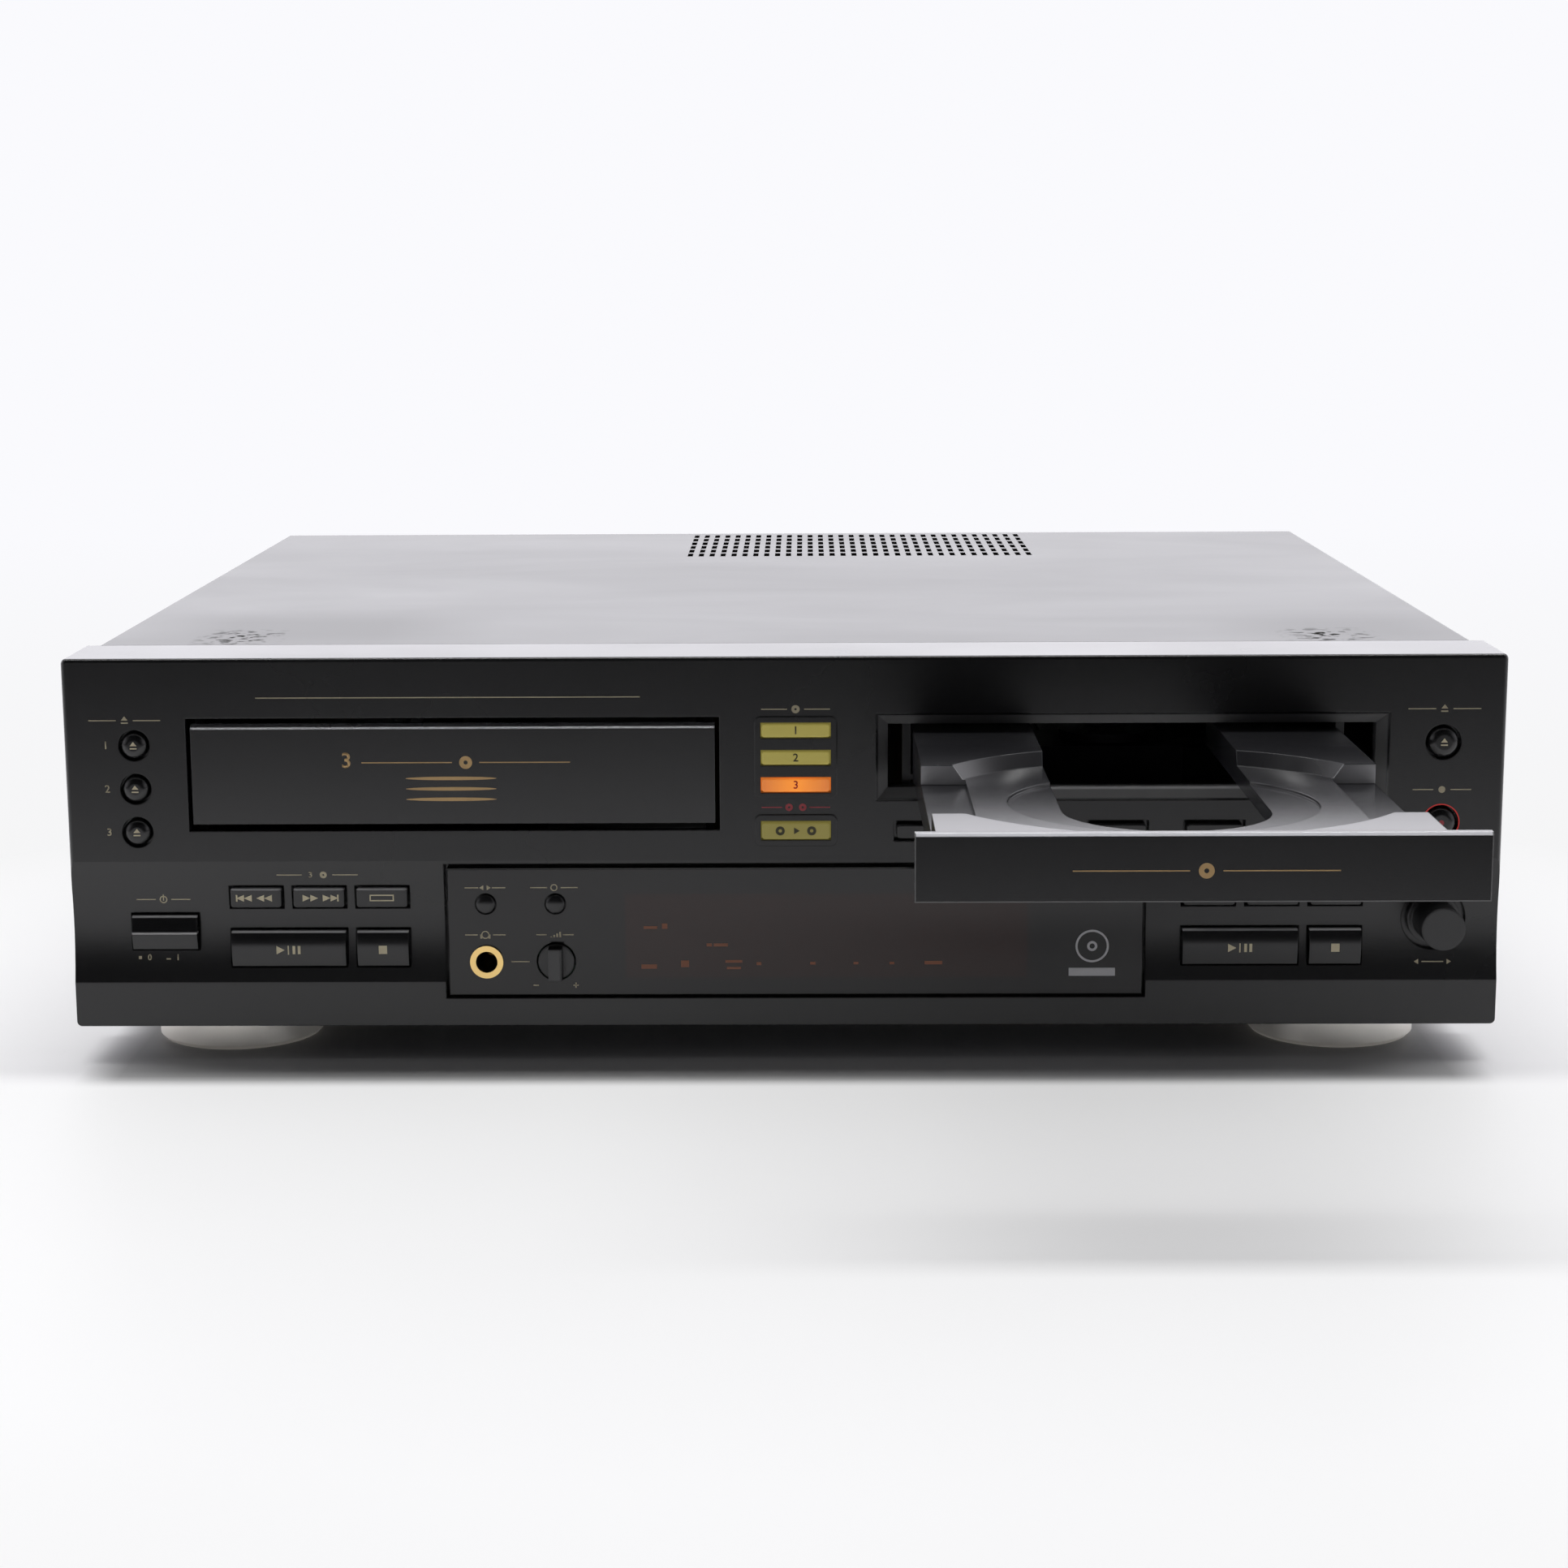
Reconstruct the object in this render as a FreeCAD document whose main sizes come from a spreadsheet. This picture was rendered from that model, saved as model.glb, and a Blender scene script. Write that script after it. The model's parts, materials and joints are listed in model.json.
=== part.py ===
import FreeCAD, Part
import math
import os
import re
import Sketcher
from FreeCAD import Placement, Rotation, Vector

# A hi-fi disc player: a three-disc changer on the left and a disc recorder on the right.
# Every piece is drawn with X across, Y from the panel's front face backwards and Z up from
# the panel's bottom edge. Each finished piece is then placed on its feet, with the origin on
# the floor at the middle of the whole outline, the recorder's tray being out.

SIZES = {
    # front panel, upper half, from left to right
    "left_margin": 35.8,
    "changer_mouth_width": 155.8,
    "mouth_to_plate": 10.3,
    "plate_width": 23.9,
    "plate_to_recess": 11.45,
    "recess_width": 142.1,
    "recess_bevel": 3.5,
    "right_margin": 33.65,
    # front panel, from the bottom up
    "strip_height": 13.3,
    "key_lift": 4.9,
    "tall_key_height": 10.6,
    "key_row_gap": 7.0,
    "small_key_height": 5.9,
    "cove_top_margin": 8.1,
    "mouth_lift": 9.1,
    "changer_mouth_height": 33.5,
    "top_margin": 17.6,
    "recess_height": 18.8,
    "recess_depth": 5.0,
    "cove_depth": 2.2,
    "panel_wall": 3.0,
    "panel_skin": 2.5,
    "panel_depth": 30.0,
    "panel_round": 1.1,
    "panel_corner": 1.5,
    "plate_raise": 0.4,
    "plate_round": 1.8,
    # keys
    "key_gap": 0.6,
    "key_slack": 0.3,
    "key_lip": 1.6,
    "key_lip_thick": 1.2,
    "key_edge": 0.5,
    "key_corner": 0.9,
    "key_proud": 1.2,
    "tall_key_ridge": 1.2,
    "tall_key_round": 18.0,
    "power_key_round": 0.5,
    "small_key_width": 15.1,
    "key_pitch": 18.6,
    "right_keys_inset": 3.0,
    "cove_key_front": 0.2,
    "power_inset": 17.7,
    "power_width": 19.2,
    "power_height": 10.1,
    "power_lift": 10.1,
    "power_to_keys": 10.1,
    "function_key_width": 16.3,
    "function_key_height": 4.3,
    "function_key_pitch": 28.2,
    "function_key_lift": 6.5,
    "function_to_recess": 6.8,
    "function_key_inset": 6.1,
    "open_key_inset": 20.6,
    "open_key_radius": 4.0,
    "open_key_lift": 8.9,
    "open_key_pitch": 12.9,
    "open_key_dome": 2.4,
    "right_key_inset": 18.1,
    "right_key_radius": 4.6,
    "mute_key_lift": 10.8,
    "right_key_pitch": 23.7,
    "select_bar_margin": 2.0,
    "select_bar_height": 4.0,
    "select_bar_pitch": 8.05,
    "select_bar_proud": 0.9,
    "copy_plate_lift": 4.3,
    "copy_plate_height": 9.3,
    "copy_bar_height": 5.1,
    "plates_gap": 4.9,
    # display window with the small controls in it
    "keys_to_window": 11.9,
    "window_gap": 1.1,
    "window_drop": 3.9,
    "window_head": 2.05,
    "window_proud": 1.0,
    "window_edge": 0.35,
    "window_flange": 4.0,
    "window_flange_thick": 2.0,
    "window_glass": 2.2,
    "display_margin_left": 52.3,
    "display_margin_right": 34.4,
    "display_height": 25.3,
    "display_drop": 1.2,
    "board_thick": 1.6,
    "knob_inset": 31.8,
    "jack_inset": 11.3,
    "small_dome_radius": 2.35,
    "small_dome_gap": 0.8,
    "small_dome_lift": 27.7,
    "jack_lift": 10.3,
    "jack_bore_radius": 3.2,
    "jack_ring_radius": 4.9,
    "jack_ring_thick": 0.9,
    "jack_depth": 28.0,
    "jack_body": 13.0,
    "level_radius": 5.3,
    "level_gap": 0.5,
    "level_grip_width": 4.0,
    "level_grip_proud": 5.0,
    "level_shaft_radius": 3.0,
    "jog_inset": 18.8,
    "jog_lift": 18.2,
    "jog_well_radius": 9.4,
    "jog_skirt_radius": 7.75,
    "jog_cap_radius": 6.3,
    "jog_proud": 13.0,
    "jog_shaft_radius": 3.0,
    "run_gap": 0.05,
    # case
    "foot_height": 10.6,
    "foot_radius": 25.0,
    "foot_inset": 42.5,
    "foot_front": 36.0,
    "foot_rear": 40.0,
    "foot_bevel": 1.2,
    "sheet": 1.0,
    "base_sheet": 1.2,
    "cover_inset": 4.3,
    "cover_bend": 1.2,
    "cover_lift": 1.5,
    "base_flange": 16.0,
    "fit_gap": 0.3,
    "rear_space": 70.5,
    "vent_slot": 2.0,
    "vent_length": 10.5,
    "vent_column_pitch": 4.17,
    "vent_row_pitch": 14.4,
    "vent_columns": 32,
    "vent_rows": 6,
    "vent_offset": 27.5,
    "vent_rear_margin": 7.0,
    "screw_radius": 1.5,
    "screw_head_radius": 2.9,
    "screw_head_thick": 1.6,
    "screw_length": 6.0,
    "screw_slack": 0.2,
    "screw_lift": 9.0,
    "screw_inset": 26.0,
    "rear_screw_pitch": 80.0,
    # changer: its drawer and the three trays stacked in it
    "door_side_gap": 1.35,
    "door_foot_gap": 2.1,
    "door_head_gap": 1.7,
    "door_thick": 3.0,
    "door_bevel": 1.6,
    "drawer_inset": 3.5,
    "drawer_lap": 0.5,
    "drawer_wall": 2.2,
    "drawer_floor": 1.5,
    "drawer_length": 187.0,
    "changer_travel": 145.0,
    "tray_ledge": 3.0,
    "ledge_thick": 1.2,
    "tray_thick": 4.2,
    "tray_slack": 0.4,
    "tray_length": 145.0,
    "tray_front": 2.5,
    "disc_radius": 61.4,
    "small_disc_radius": 40.5,
    "disc_margin": 2.6,
    "disc_depth": 2.0,
    "small_disc_depth": 0.8,
    "tray_slot": 54.0,
    "tray_slot_lead": 7.5,
    # what carries and plays the discs
    "loader_gap": 0.5,
    "loader_wall": 2.5,
    "loader_start": 6.0,
    "loader_tail": 4.0,
    "loader_head": 6.0,
    "deck_thick": 2.0,
    "bridge_thick": 2.0,
    "bridge_length": 50.0,
    "lift_travel": 26.0,
    "lift_plate": 2.0,
    "lift_pin_radius": 1.5,
    "lift_pin_spread": 60.0,
    "lift_room": 4.0,
    "lift_side": 1.0,
    "pedestal_width": 46.0,
    "pedestal_lead": 16.0,
    "pedestal_tail": 76.0,
    "pedestal_wall": 3.5,
    "pedestal_below": 4.0,
    "turntable_radius": 14.0,
    "turntable_thick": 2.5,
    "spindle_radius": 1.5,
    "spindle_cone_radius": 7.3,
    "spindle_cone_height": 1.6,
    "pickup_length": 20.0,
    "pickup_height": 8.0,
    "pickup_rod_radius": 1.5,
    "lens_radius": 3.6,
    "pickup_gap": 2.0,
    "pickup_side": 1.0,
    "rod_spread": 28.0,
    "rod_drop": 4.5,
    "motor_radius": 10.0,
    "motor_height": 8.0,
    "turn_gap": 0.5,
    "slot_slack": 0.15,
    "rail_width": 4.5,
    "rail_thick": 1.5,
    "ledge_gap": 1.0,
    "loader_step": 5.0,
    "clamper_radius": 15.0,
    "clamper_hub_radius": 12.0,
    "clamper_flange": 1.6,
    "clamper_pad": 2.9,
    # recorder: its tray, door and tray gear
    "tray_travel": 159.0,
    "recorder_door_gap": 2.05,
    "recorder_door_foot": 1.3,
    "recorder_door_head": 0.6,
    "recorder_door_bevel": 0.8,
    "recorder_tray_offset": 2.0,
    "recorder_tray_width": 123.4,
    "recorder_tray_length": 184.0,
    "recorder_tray_drop": 1.1,
    "recorder_tray_plate": 9.0,
    "recorder_disc_depth": 4.0,
    "recorder_disc_flare": 2.3,
    "recorder_disc_front": 63.5,
    "recorder_finger_reach": 35.0,
    "recorder_finger_depth": 5.5,
    "recorder_finger_width": 12.0,
    "recorder_skirt": 5.0,
    "recorder_skirt_wall": 3.0,
    "recorder_lift_travel": 8.0,
    "rack_tooth": 1.0,
    "rack_root": 1.1,
    "tooth_head": 0.9,
    "gear_teeth": 18,
    "gear_thick": 4.0,
    "gear_place": 20.0,
    "gear_pin_radius": 2.0,
    "tooth_slack": 0.3,
    # electrics
    "transformer_inset": 14.0,
    "transformer_gap": 8.0,
    "transformer_lug": 3.0,
    "transformer_width": 60.0,
    "transformer_depth": 48.0,
    "transformer_height": 50.0,
    "coil_width": 40.0,
    "board_height": 8.0,
    "board_margin": 6.0,
    "board_gap": 15.0,
    "capacitor_radius": 8.0,
    "capacitor_height": 30.0,
    "capacitor_pitch": 24.0,
    "sink_length": 60.0,
    "sink_width": 12.0,
    "sink_height": 36.0,
    "chip_width": 16.0,
    "chip_thick": 2.4,
    "post_radius": 3.0,
    "jack_pitch": 18.0,
    "jack_radius": 4.15,
    "jack_length": 9.0,
    "jack_flange": 1.5,
    "jack_columns": 5,
    "jack_rows": 2,
    "jack_hole_radius": 1.6,
    "jack_block_depth": 10.0,
    "jack_block_margin": 7.0,
    "jack_start": 20.0,
    "jack_row_lift": 26.0,
    "inlet_inset": 105.0,
    "inlet_width": 22.0,
    "inlet_height": 13.0,
    "inlet_depth": 20.0,
    "inlet_lift": 24.0,
    "inlet_pin_radius": 1.2,
    "inlet_pin_pitch": 8.6,
    "inlet_wall": 1.8,
}

RULES = {
    "recess_outer_width": "recess_width + 2 * recess_bevel",
    "panel_width": "left_margin + changer_mouth_width + mouth_to_plate + plate_width"
                   " + plate_to_recess + recess_outer_width + right_margin",
    "half_width": "panel_width / 2",
    "cove_height": "key_lift + tall_key_height + key_row_gap + small_key_height + cove_top_margin",
    "crease": "strip_height + cove_height",
    "panel_height": "crease + mouth_lift + changer_mouth_height + top_margin",
    "cove_radius": "(cove_height * cove_height / 4 + cove_depth * cove_depth) / (2 * cove_depth)",
    "cove_inside": "cove_depth + panel_wall",
    "mouth_left": "left_margin - half_width",
    "mouth_right": "mouth_left + changer_mouth_width",
    "mouth_foot": "crease + mouth_lift",
    "mouth_head": "mouth_foot + changer_mouth_height",
    "changer_middle": "(mouth_left + mouth_right) / 2",
    "plate_left": "mouth_right + mouth_to_plate",
    "plate_right": "plate_left + plate_width",
    "copy_plate_foot": "crease + copy_plate_lift",
    "copy_plate_head": "copy_plate_foot + copy_plate_height",
    "select_plate_foot": "copy_plate_head + plates_gap",
    "select_plate_height": "2 * select_bar_pitch + select_bar_height + 2 * select_bar_margin",
    "recess_left": "plate_right + plate_to_recess + recess_bevel",
    "recess_right": "recess_left + recess_width",
    "recess_foot": "crease + function_key_lift + function_key_height + function_to_recess"
                   " + recess_bevel",
    "recess_head": "recess_foot + recess_height",
    "recess_middle": "(recess_left + recess_right) / 2",
    "key_row_left": "power_left + power_width + power_to_keys",
    "power_left": "power_inset - half_width",
    "power_foot": "strip_height + power_lift",
    "key_block_width": "2 * key_pitch + small_key_width",
    "wide_key_width": "key_pitch + small_key_width",
    "tall_key_foot": "strip_height + key_lift",
    "small_key_foot": "tall_key_foot + tall_key_height + key_row_gap",
    "window_left": "key_row_left + key_block_width + keys_to_window",
    "jog_across": "half_width - jog_inset",
    "jog_up": "strip_height + jog_lift",
    "right_keys_left": "recess_right - key_block_width - right_keys_inset",
    "window_right": "right_keys_left - keys_to_window",
    "window_foot": "strip_height - window_drop",
    "window_top": "crease - window_head",
    "display_left": "window_left + display_margin_left",
    "display_right": "window_right - display_margin_right",
    "display_middle_up": "(window_foot + window_top) / 2 - display_drop",
    "window_back": "cove_inside + fit_gap",
    "small_dome_up": "window_foot + small_dome_lift",
    "jack_up": "window_foot + jack_lift",
    "jack_across": "window_left + jack_inset",
    "knob_across": "window_left + knob_inset",
    "right_key_across": "half_width - right_key_inset",
    "mute_up": "crease + mute_key_lift",
    "right_open_up": "mute_up + right_key_pitch",
    "case_half": "half_width - cover_inset",
    "inner_half": "case_half - sheet - fit_gap",
    "case_start": "panel_depth + fit_gap",
    "case_end": "changer_loader_end + rear_space",
    "case_inside": "case_end - base_sheet",
    "front_most": "0 - tray_travel",
    "rear_most": "case_end + jack_flange + jack_length",
    "middle_depth": "(front_most + rear_most) / 2",
    # changer
    "door_left": "mouth_left + door_side_gap",
    "door_right": "mouth_right - door_side_gap",
    "door_foot": "mouth_foot + door_foot_gap",
    "door_head": "mouth_head - door_head_gap",
    "drawer_half": "(door_right - door_left) / 2 - drawer_inset",
    "drawer_inner": "drawer_half - drawer_wall",
    "drawer_foot": "door_foot + drawer_lap",
    "drawer_head": "door_head - drawer_lap",
    "drawer_end": "door_thick + drawer_length",
    "tray_pitch": "(drawer_head - first_ledge) / 3",
    "first_ledge": "drawer_foot + drawer_floor",
    "tray_half": "drawer_inner - tray_slack",
    "tray_start": "door_thick + tray_front",
    "tray_end": "tray_start + tray_length",
    "changer_disc_depth": "tray_start + disc_margin + disc_radius",
    "changer_loader_end": "tray_end + changer_travel + loader_tail",
    "changer_loader_half": "drawer_half + loader_gap",
    "loader_top": "drawer_head + loader_head",
    "changer_deck": "drawer_foot - lift_travel - lift_plate - lift_room",
    "changer_pedestal": "drawer_foot - pedestal_below",
    # recorder
    "recorder_middle": "recess_middle - recorder_tray_offset",
    "recorder_door_left": "recess_left + recorder_door_gap",
    "recorder_door_right": "recess_right - recorder_door_gap",
    "recorder_door_low": "recess_foot + recorder_door_foot",
    "recorder_door_high": "recess_head - recorder_door_head",
    "recorder_tray_top": "recorder_door_high - recorder_tray_drop",
    "recorder_tray_under": "recorder_tray_top - recorder_tray_plate",
    "recorder_floor": "recorder_tray_top - recorder_disc_depth",
    "recorder_tray_half": "recorder_tray_width / 2",
    "recorder_tray_start": "door_thick - tray_travel",
    "recorder_tray_end": "recorder_tray_start + recorder_tray_length",
    "recorder_disc_middle": "recorder_tray_start + recorder_disc_front",
    "recorder_play_depth": "recorder_disc_middle + tray_travel",
    "recorder_loader_half": "recorder_tray_half + loader_gap",
    "recorder_loader_end": "recorder_tray_end + tray_travel + loader_tail",
    "recorder_loader_start": "panel_wall + recess_depth + loader_gap",
    "recorder_loader_top": "recorder_door_high + loader_head",
    "skirt_foot": "recorder_tray_under - recorder_skirt",
    "loader_step_up": "crease + loader_step",
    "tooth_pitch": "pi * rack_tooth",
    "gear_foot": "skirt_foot + slot_slack",
    "recorder_deck": "skirt_foot - recorder_lift_travel - lift_plate - lift_room",
    "recorder_pedestal": "recorder_tray_under - pedestal_below",
    "pitch_radius": "gear_teeth * rack_tooth / 2",
    "rack_across": "recorder_middle - recorder_tray_half + recorder_skirt_wall + rack_root",
    "gear_across": "rack_across + pitch_radius",
}

doc = FreeCAD.newDocument("disc_changer_recorder")
sheet = doc.addObject("Spreadsheet::Sheet", "dims")
for row, (alias, size) in enumerate(SIZES.items(), 1):
    sheet.set("A%d" % row, alias)
    sheet.set("B%d" % row, str(size))
    sheet.setAlias("B%d" % row, alias)
doc.recompute()

WORD = re.compile(r"[a-z][a-z_]*")
NODES = []


def ex(text):
    """The text with each size as its cell and each rule written out in cells."""
    def put(match):
        word = match.group(0)
        if word in RULES:
            return "(" + ex(RULES[word]) + ")"
        if word in SIZES:
            return "dims." + word
        return word
    return WORD.sub(put, str(text))


def keep(piece, label):
    """Names a finished piece and stands it on the floor at the outline's middle."""
    piece.Label = label
    piece.setExpression("Placement.Base.y", ex("0 - middle_depth"))
    piece.setExpression("Placement.Base.z", ex("foot_height"))
    NODES.append(piece)
    return piece


def number(name):
    """The present value of one driving size."""
    return float(sheet.get(name))


# ---- drawing and shaping helpers ----

def block(name, across, deep, up):
    """A box between a low and a high place along each axis."""
    piece = doc.addObject("Part::Box", name)
    spans = (("Length", "x", across), ("Width", "y", deep), ("Height", "z", up))
    for size, axis, (low, high) in spans:
        piece.setExpression(size, ex("(%s) - (%s)" % (high, low)))
        piece.setExpression("Placement.Base." + axis, ex(low))
    return piece


TURNS = {
    "x": Rotation(Vector(0, 1, 0), 90),
    "y": Rotation(Vector(1, 0, 0), -90),
    "z": Rotation(),
}


def place_round(piece, axis, low, high, centre):
    """Lays a round solid along an axis from low to high, about a centre in the other two."""
    piece.Placement = Placement(Vector(), TURNS[axis])
    places = dict(zip([name for name in "xyz" if name != axis], centre))
    places[axis] = low
    for name, place in places.items():
        piece.setExpression("Placement.Base." + name, ex(place))
    piece.setExpression("Height", ex("(%s) - (%s)" % (high, low)))
    return piece


def rod(name, axis, low, high, centre, radius):
    piece = doc.addObject("Part::Cylinder", name)
    piece.setExpression("Radius", ex(radius))
    return place_round(piece, axis, low, high, centre)


def taper(name, axis, low, high, centre, radii):
    piece = doc.addObject("Part::Cone", name)
    piece.setExpression("Radius1", ex(radii[0]))
    piece.setExpression("Radius2", ex(radii[1]))
    return place_round(piece, axis, low, high, centre)


def join(name, pieces):
    piece = doc.addObject("Part::MultiFuse", name)
    piece.Shapes = pieces
    return piece


def trim(name, base, tools):
    """The base with the tools cut out of it."""
    piece = doc.addObject("Part::Cut", name)
    piece.Base = base
    piece.Tool = tools[0] if len(tools) == 1 else join(name + "_tools", tools)
    return piece


def body(label):
    return doc.addObject("PartDesign::Body", label)


def drawing(piece, name, role, offset):
    """A sketch on one of the body's own planes, moved along the plane's normal."""
    draw = piece.newObject("Sketcher::SketchObject", piece.Name + "_" + name)
    plane = next(part for part in piece.Origin.OriginFeatures if part.Role == role)
    draw.AttachmentSupport = [(plane, "")]
    draw.MapMode = "FlatFace"
    draw.setExpression("AttachmentOffset.Base.z", ex(offset))
    return draw


def front_drawing(piece, name, depth):
    """A sketch that faces the front, at a depth behind the panel's face."""
    return drawing(piece, name, "XZ_Plane", "0 - (%s)" % depth)


def bind(draw, kind, places, guess, size):
    index = draw.addConstraint(Sketcher.Constraint(kind, *places, guess))
    draw.setExpression("Constraints[%d]" % index, ex(size))


def pin_point(draw, line, end, guess, point):
    """Holds one point of a sketch at its place from the sketch's origin."""
    bind(draw, "DistanceX", (-1, 1, line, end), guess.x, point[0])
    bind(draw, "DistanceY", (-1, 1, line, end), guess.y, point[1])


def outline(draw, points):
    """A closed outline of straight lines through the points."""
    count = len(points)
    first = draw.GeometryCount
    turn = 2 * math.pi / count
    guess = [Vector(math.cos(turn * i), math.sin(turn * i), 0) for i in range(count)]
    for i in range(count):
        draw.addGeometry(Part.LineSegment(guess[i], guess[(i + 1) % count]), False)
    for i in range(count):
        following = first + (i + 1) % count
        draw.addConstraint(Sketcher.Constraint("Coincident", first + i, 2, following, 1))
    for i, point in enumerate(points):
        pin_point(draw, first + i, 1, guess[i], point)


def rectangle(draw, across, up, spread="0"):
    """A rectangle between two places each way, widened all round by spread."""
    left, right = "%s - (%s)" % (across[0], spread), "%s + (%s)" % (across[1], spread)
    low, high = "%s - (%s)" % (up[0], spread), "%s + (%s)" % (up[1], spread)
    outline(draw, [(left, low), (right, low), (right, high), (left, high)])


def circle(draw, across, up, radius):
    index = draw.addGeometry(Part.Circle(Vector(1, 1, 0), Vector(0, 0, 1), 1.0), False)
    pin_point(draw, index, 3, Vector(1, 1, 0), (across, up))
    bind(draw, "Radius", (index,), 1.0, radius)


def pad(piece, draw, length, against=False):
    """Thickens a sketch along its normal, or against it."""
    feature = piece.newObject("PartDesign::Pad", draw.Name + "_pad")
    feature.Profile = draw
    feature.setExpression("Length", ex(length))
    feature.Reversed = against
    return feature


def pocket(piece, draw, length):
    """Cuts a sketch against its normal: downwards, or backwards from a front drawing."""
    feature = piece.newObject("PartDesign::Pocket", draw.Name + "_pocket")
    feature.Profile = draw
    feature.setExpression("Length", ex(length))
    return feature


def soften(piece, kind, size, wanted):
    """A fillet or chamfer on the edges of the body's last feature that wanted picks."""
    doc.recompute()
    last = piece.Tip
    edges = enumerate(last.Shape.Edges, 1)
    names = ["Edge%d" % i for i, edge in edges if wanted(edge.BoundBox, last.Shape.BoundBox)]
    feature = piece.newObject("PartDesign::" + kind, "%s_%s" % (last.Name, kind.lower()))
    feature.Base = (last, names)
    feature.setExpression("Radius" if kind == "Fillet" else "Size", ex(size))
    return feature


NEAR = 0.01


def on_front(edge, whole):
    return edge.YMax < whole.YMin + NEAR


def front_top(edge, whole):
    return on_front(edge, whole) and edge.ZMin > whole.ZMax - NEAR


def along_depth(edge, whole=None):
    return edge.XLength < NEAR and edge.ZLength < NEAR and edge.YLength > NEAR


def outer_corner(edge, whole):
    """The long edges at the four corners of the front view."""
    end = edge.ZMax < whole.ZMin + NEAR or edge.ZMin > whole.ZMax - NEAR
    return along_depth(edge) and end


def raised_corner(edge, whole):
    return along_depth(edge) and edge.YMin < whole.YMin + NEAR


# ---- front panel ----

def key_columns(left):
    """The left edges of the three small keys above a wide key and a stop key."""
    return ["%s + %d * key_pitch" % (left, i) for i in range(3)]


SMALL_KEY_UP = ("small_key_foot", "small_key_foot + small_key_height")
TALL_KEY_UP = ("tall_key_foot", "tall_key_foot + tall_key_height")
KEY_BLOCKS = {"changer": "key_row_left", "recorder": "right_keys_left"}
POWER_KEY = (("power_left", "power_left + power_width"),
             ("power_foot", "power_foot + power_height"))


def small_keys(side):
    """The places of one block's small keys, by name."""
    names = ("back", "forward", "display") if side == "changer" else ("record", "erase", "finish")
    places = key_columns(KEY_BLOCKS[side])
    return {name: ((left, left + " + small_key_width"), SMALL_KEY_UP)
            for name, left in zip(names, places)}


def tall_keys(side):
    """The places of one block's wide play key and its stop key, by name."""
    left = KEY_BLOCKS[side]
    stop = left + " + 2 * key_pitch"
    return {"play": ((left, left + " + wide_key_width"), TALL_KEY_UP),
            "stop": ((stop, stop + " + small_key_width"), TALL_KEY_UP)}


def function_keys():
    foot = "crease + function_key_lift"
    places = []
    for i in range(5):
        left = "recess_left - recess_bevel + function_key_inset + %d * function_key_pitch" % i
        places.append(((left, left + " + function_key_width"),
                       (foot, foot + " + function_key_height")))
    return places


BAR_ACROSS = ("plate_left + select_bar_margin", "plate_right - select_bar_margin")
COPY_FOOT = "copy_plate_foot + (copy_plate_height - copy_bar_height) / 2"
COPY_BAR = (BAR_ACROSS, (COPY_FOOT, COPY_FOOT + " + copy_bar_height"))


def select_bars():
    """The three disc bars, the first one on top."""
    places = []
    for i in range(3):
        foot = "select_plate_foot + select_bar_margin + %d * select_bar_pitch" % (2 - i)
        places.append((BAR_ACROSS, (foot, foot + " + select_bar_height")))
    return places


OPEN_KEY_ACROSS = "open_key_inset - half_width"


def open_key_up(i):
    return "mouth_foot - mouth_lift + open_key_lift + %d * open_key_pitch" % (2 - i)


def panel_profile(draw):
    """The panel's outer section: flat strip, hollow cove, flat upper face, and its back."""
    low = number("strip_height")
    deep = number("cove_depth")
    back = number("panel_depth")
    high = 3 * low
    guess = [Vector(0, 0, 0), Vector(0, low, 0), Vector(0, high, 0), Vector(0, 2 * high, 0),
             Vector(back, 2 * high, 0), Vector(back, 0, 0)]
    places = [("0", "0"), ("0", "strip_height"), ("0", "crease"), ("0", "panel_height"),
              ("panel_depth", "panel_height"), ("panel_depth", "0")]
    middle = Vector(deep, (low + high) / 2, 0)
    ends = list(zip(guess, guess[1:] + guess[:1]))
    for i, (start, end) in enumerate(ends):
        if i == 1:
            draw.addGeometry(Part.Arc(start, middle, end), False)
        else:
            draw.addGeometry(Part.LineSegment(start, end), False)
    for i in range(len(ends)):
        following = (i + 1) % len(ends)
        draw.addConstraint(Sketcher.Constraint("Coincident", i, 2, following, 1))
    for i, place in enumerate(places):
        pin_point(draw, i, 1, guess[i], place)
    centre = draw.Geometry[1].Center
    bind(draw, "DistanceX", (-1, 1, 1, 3), centre.x, "cove_depth - cove_radius")


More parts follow.
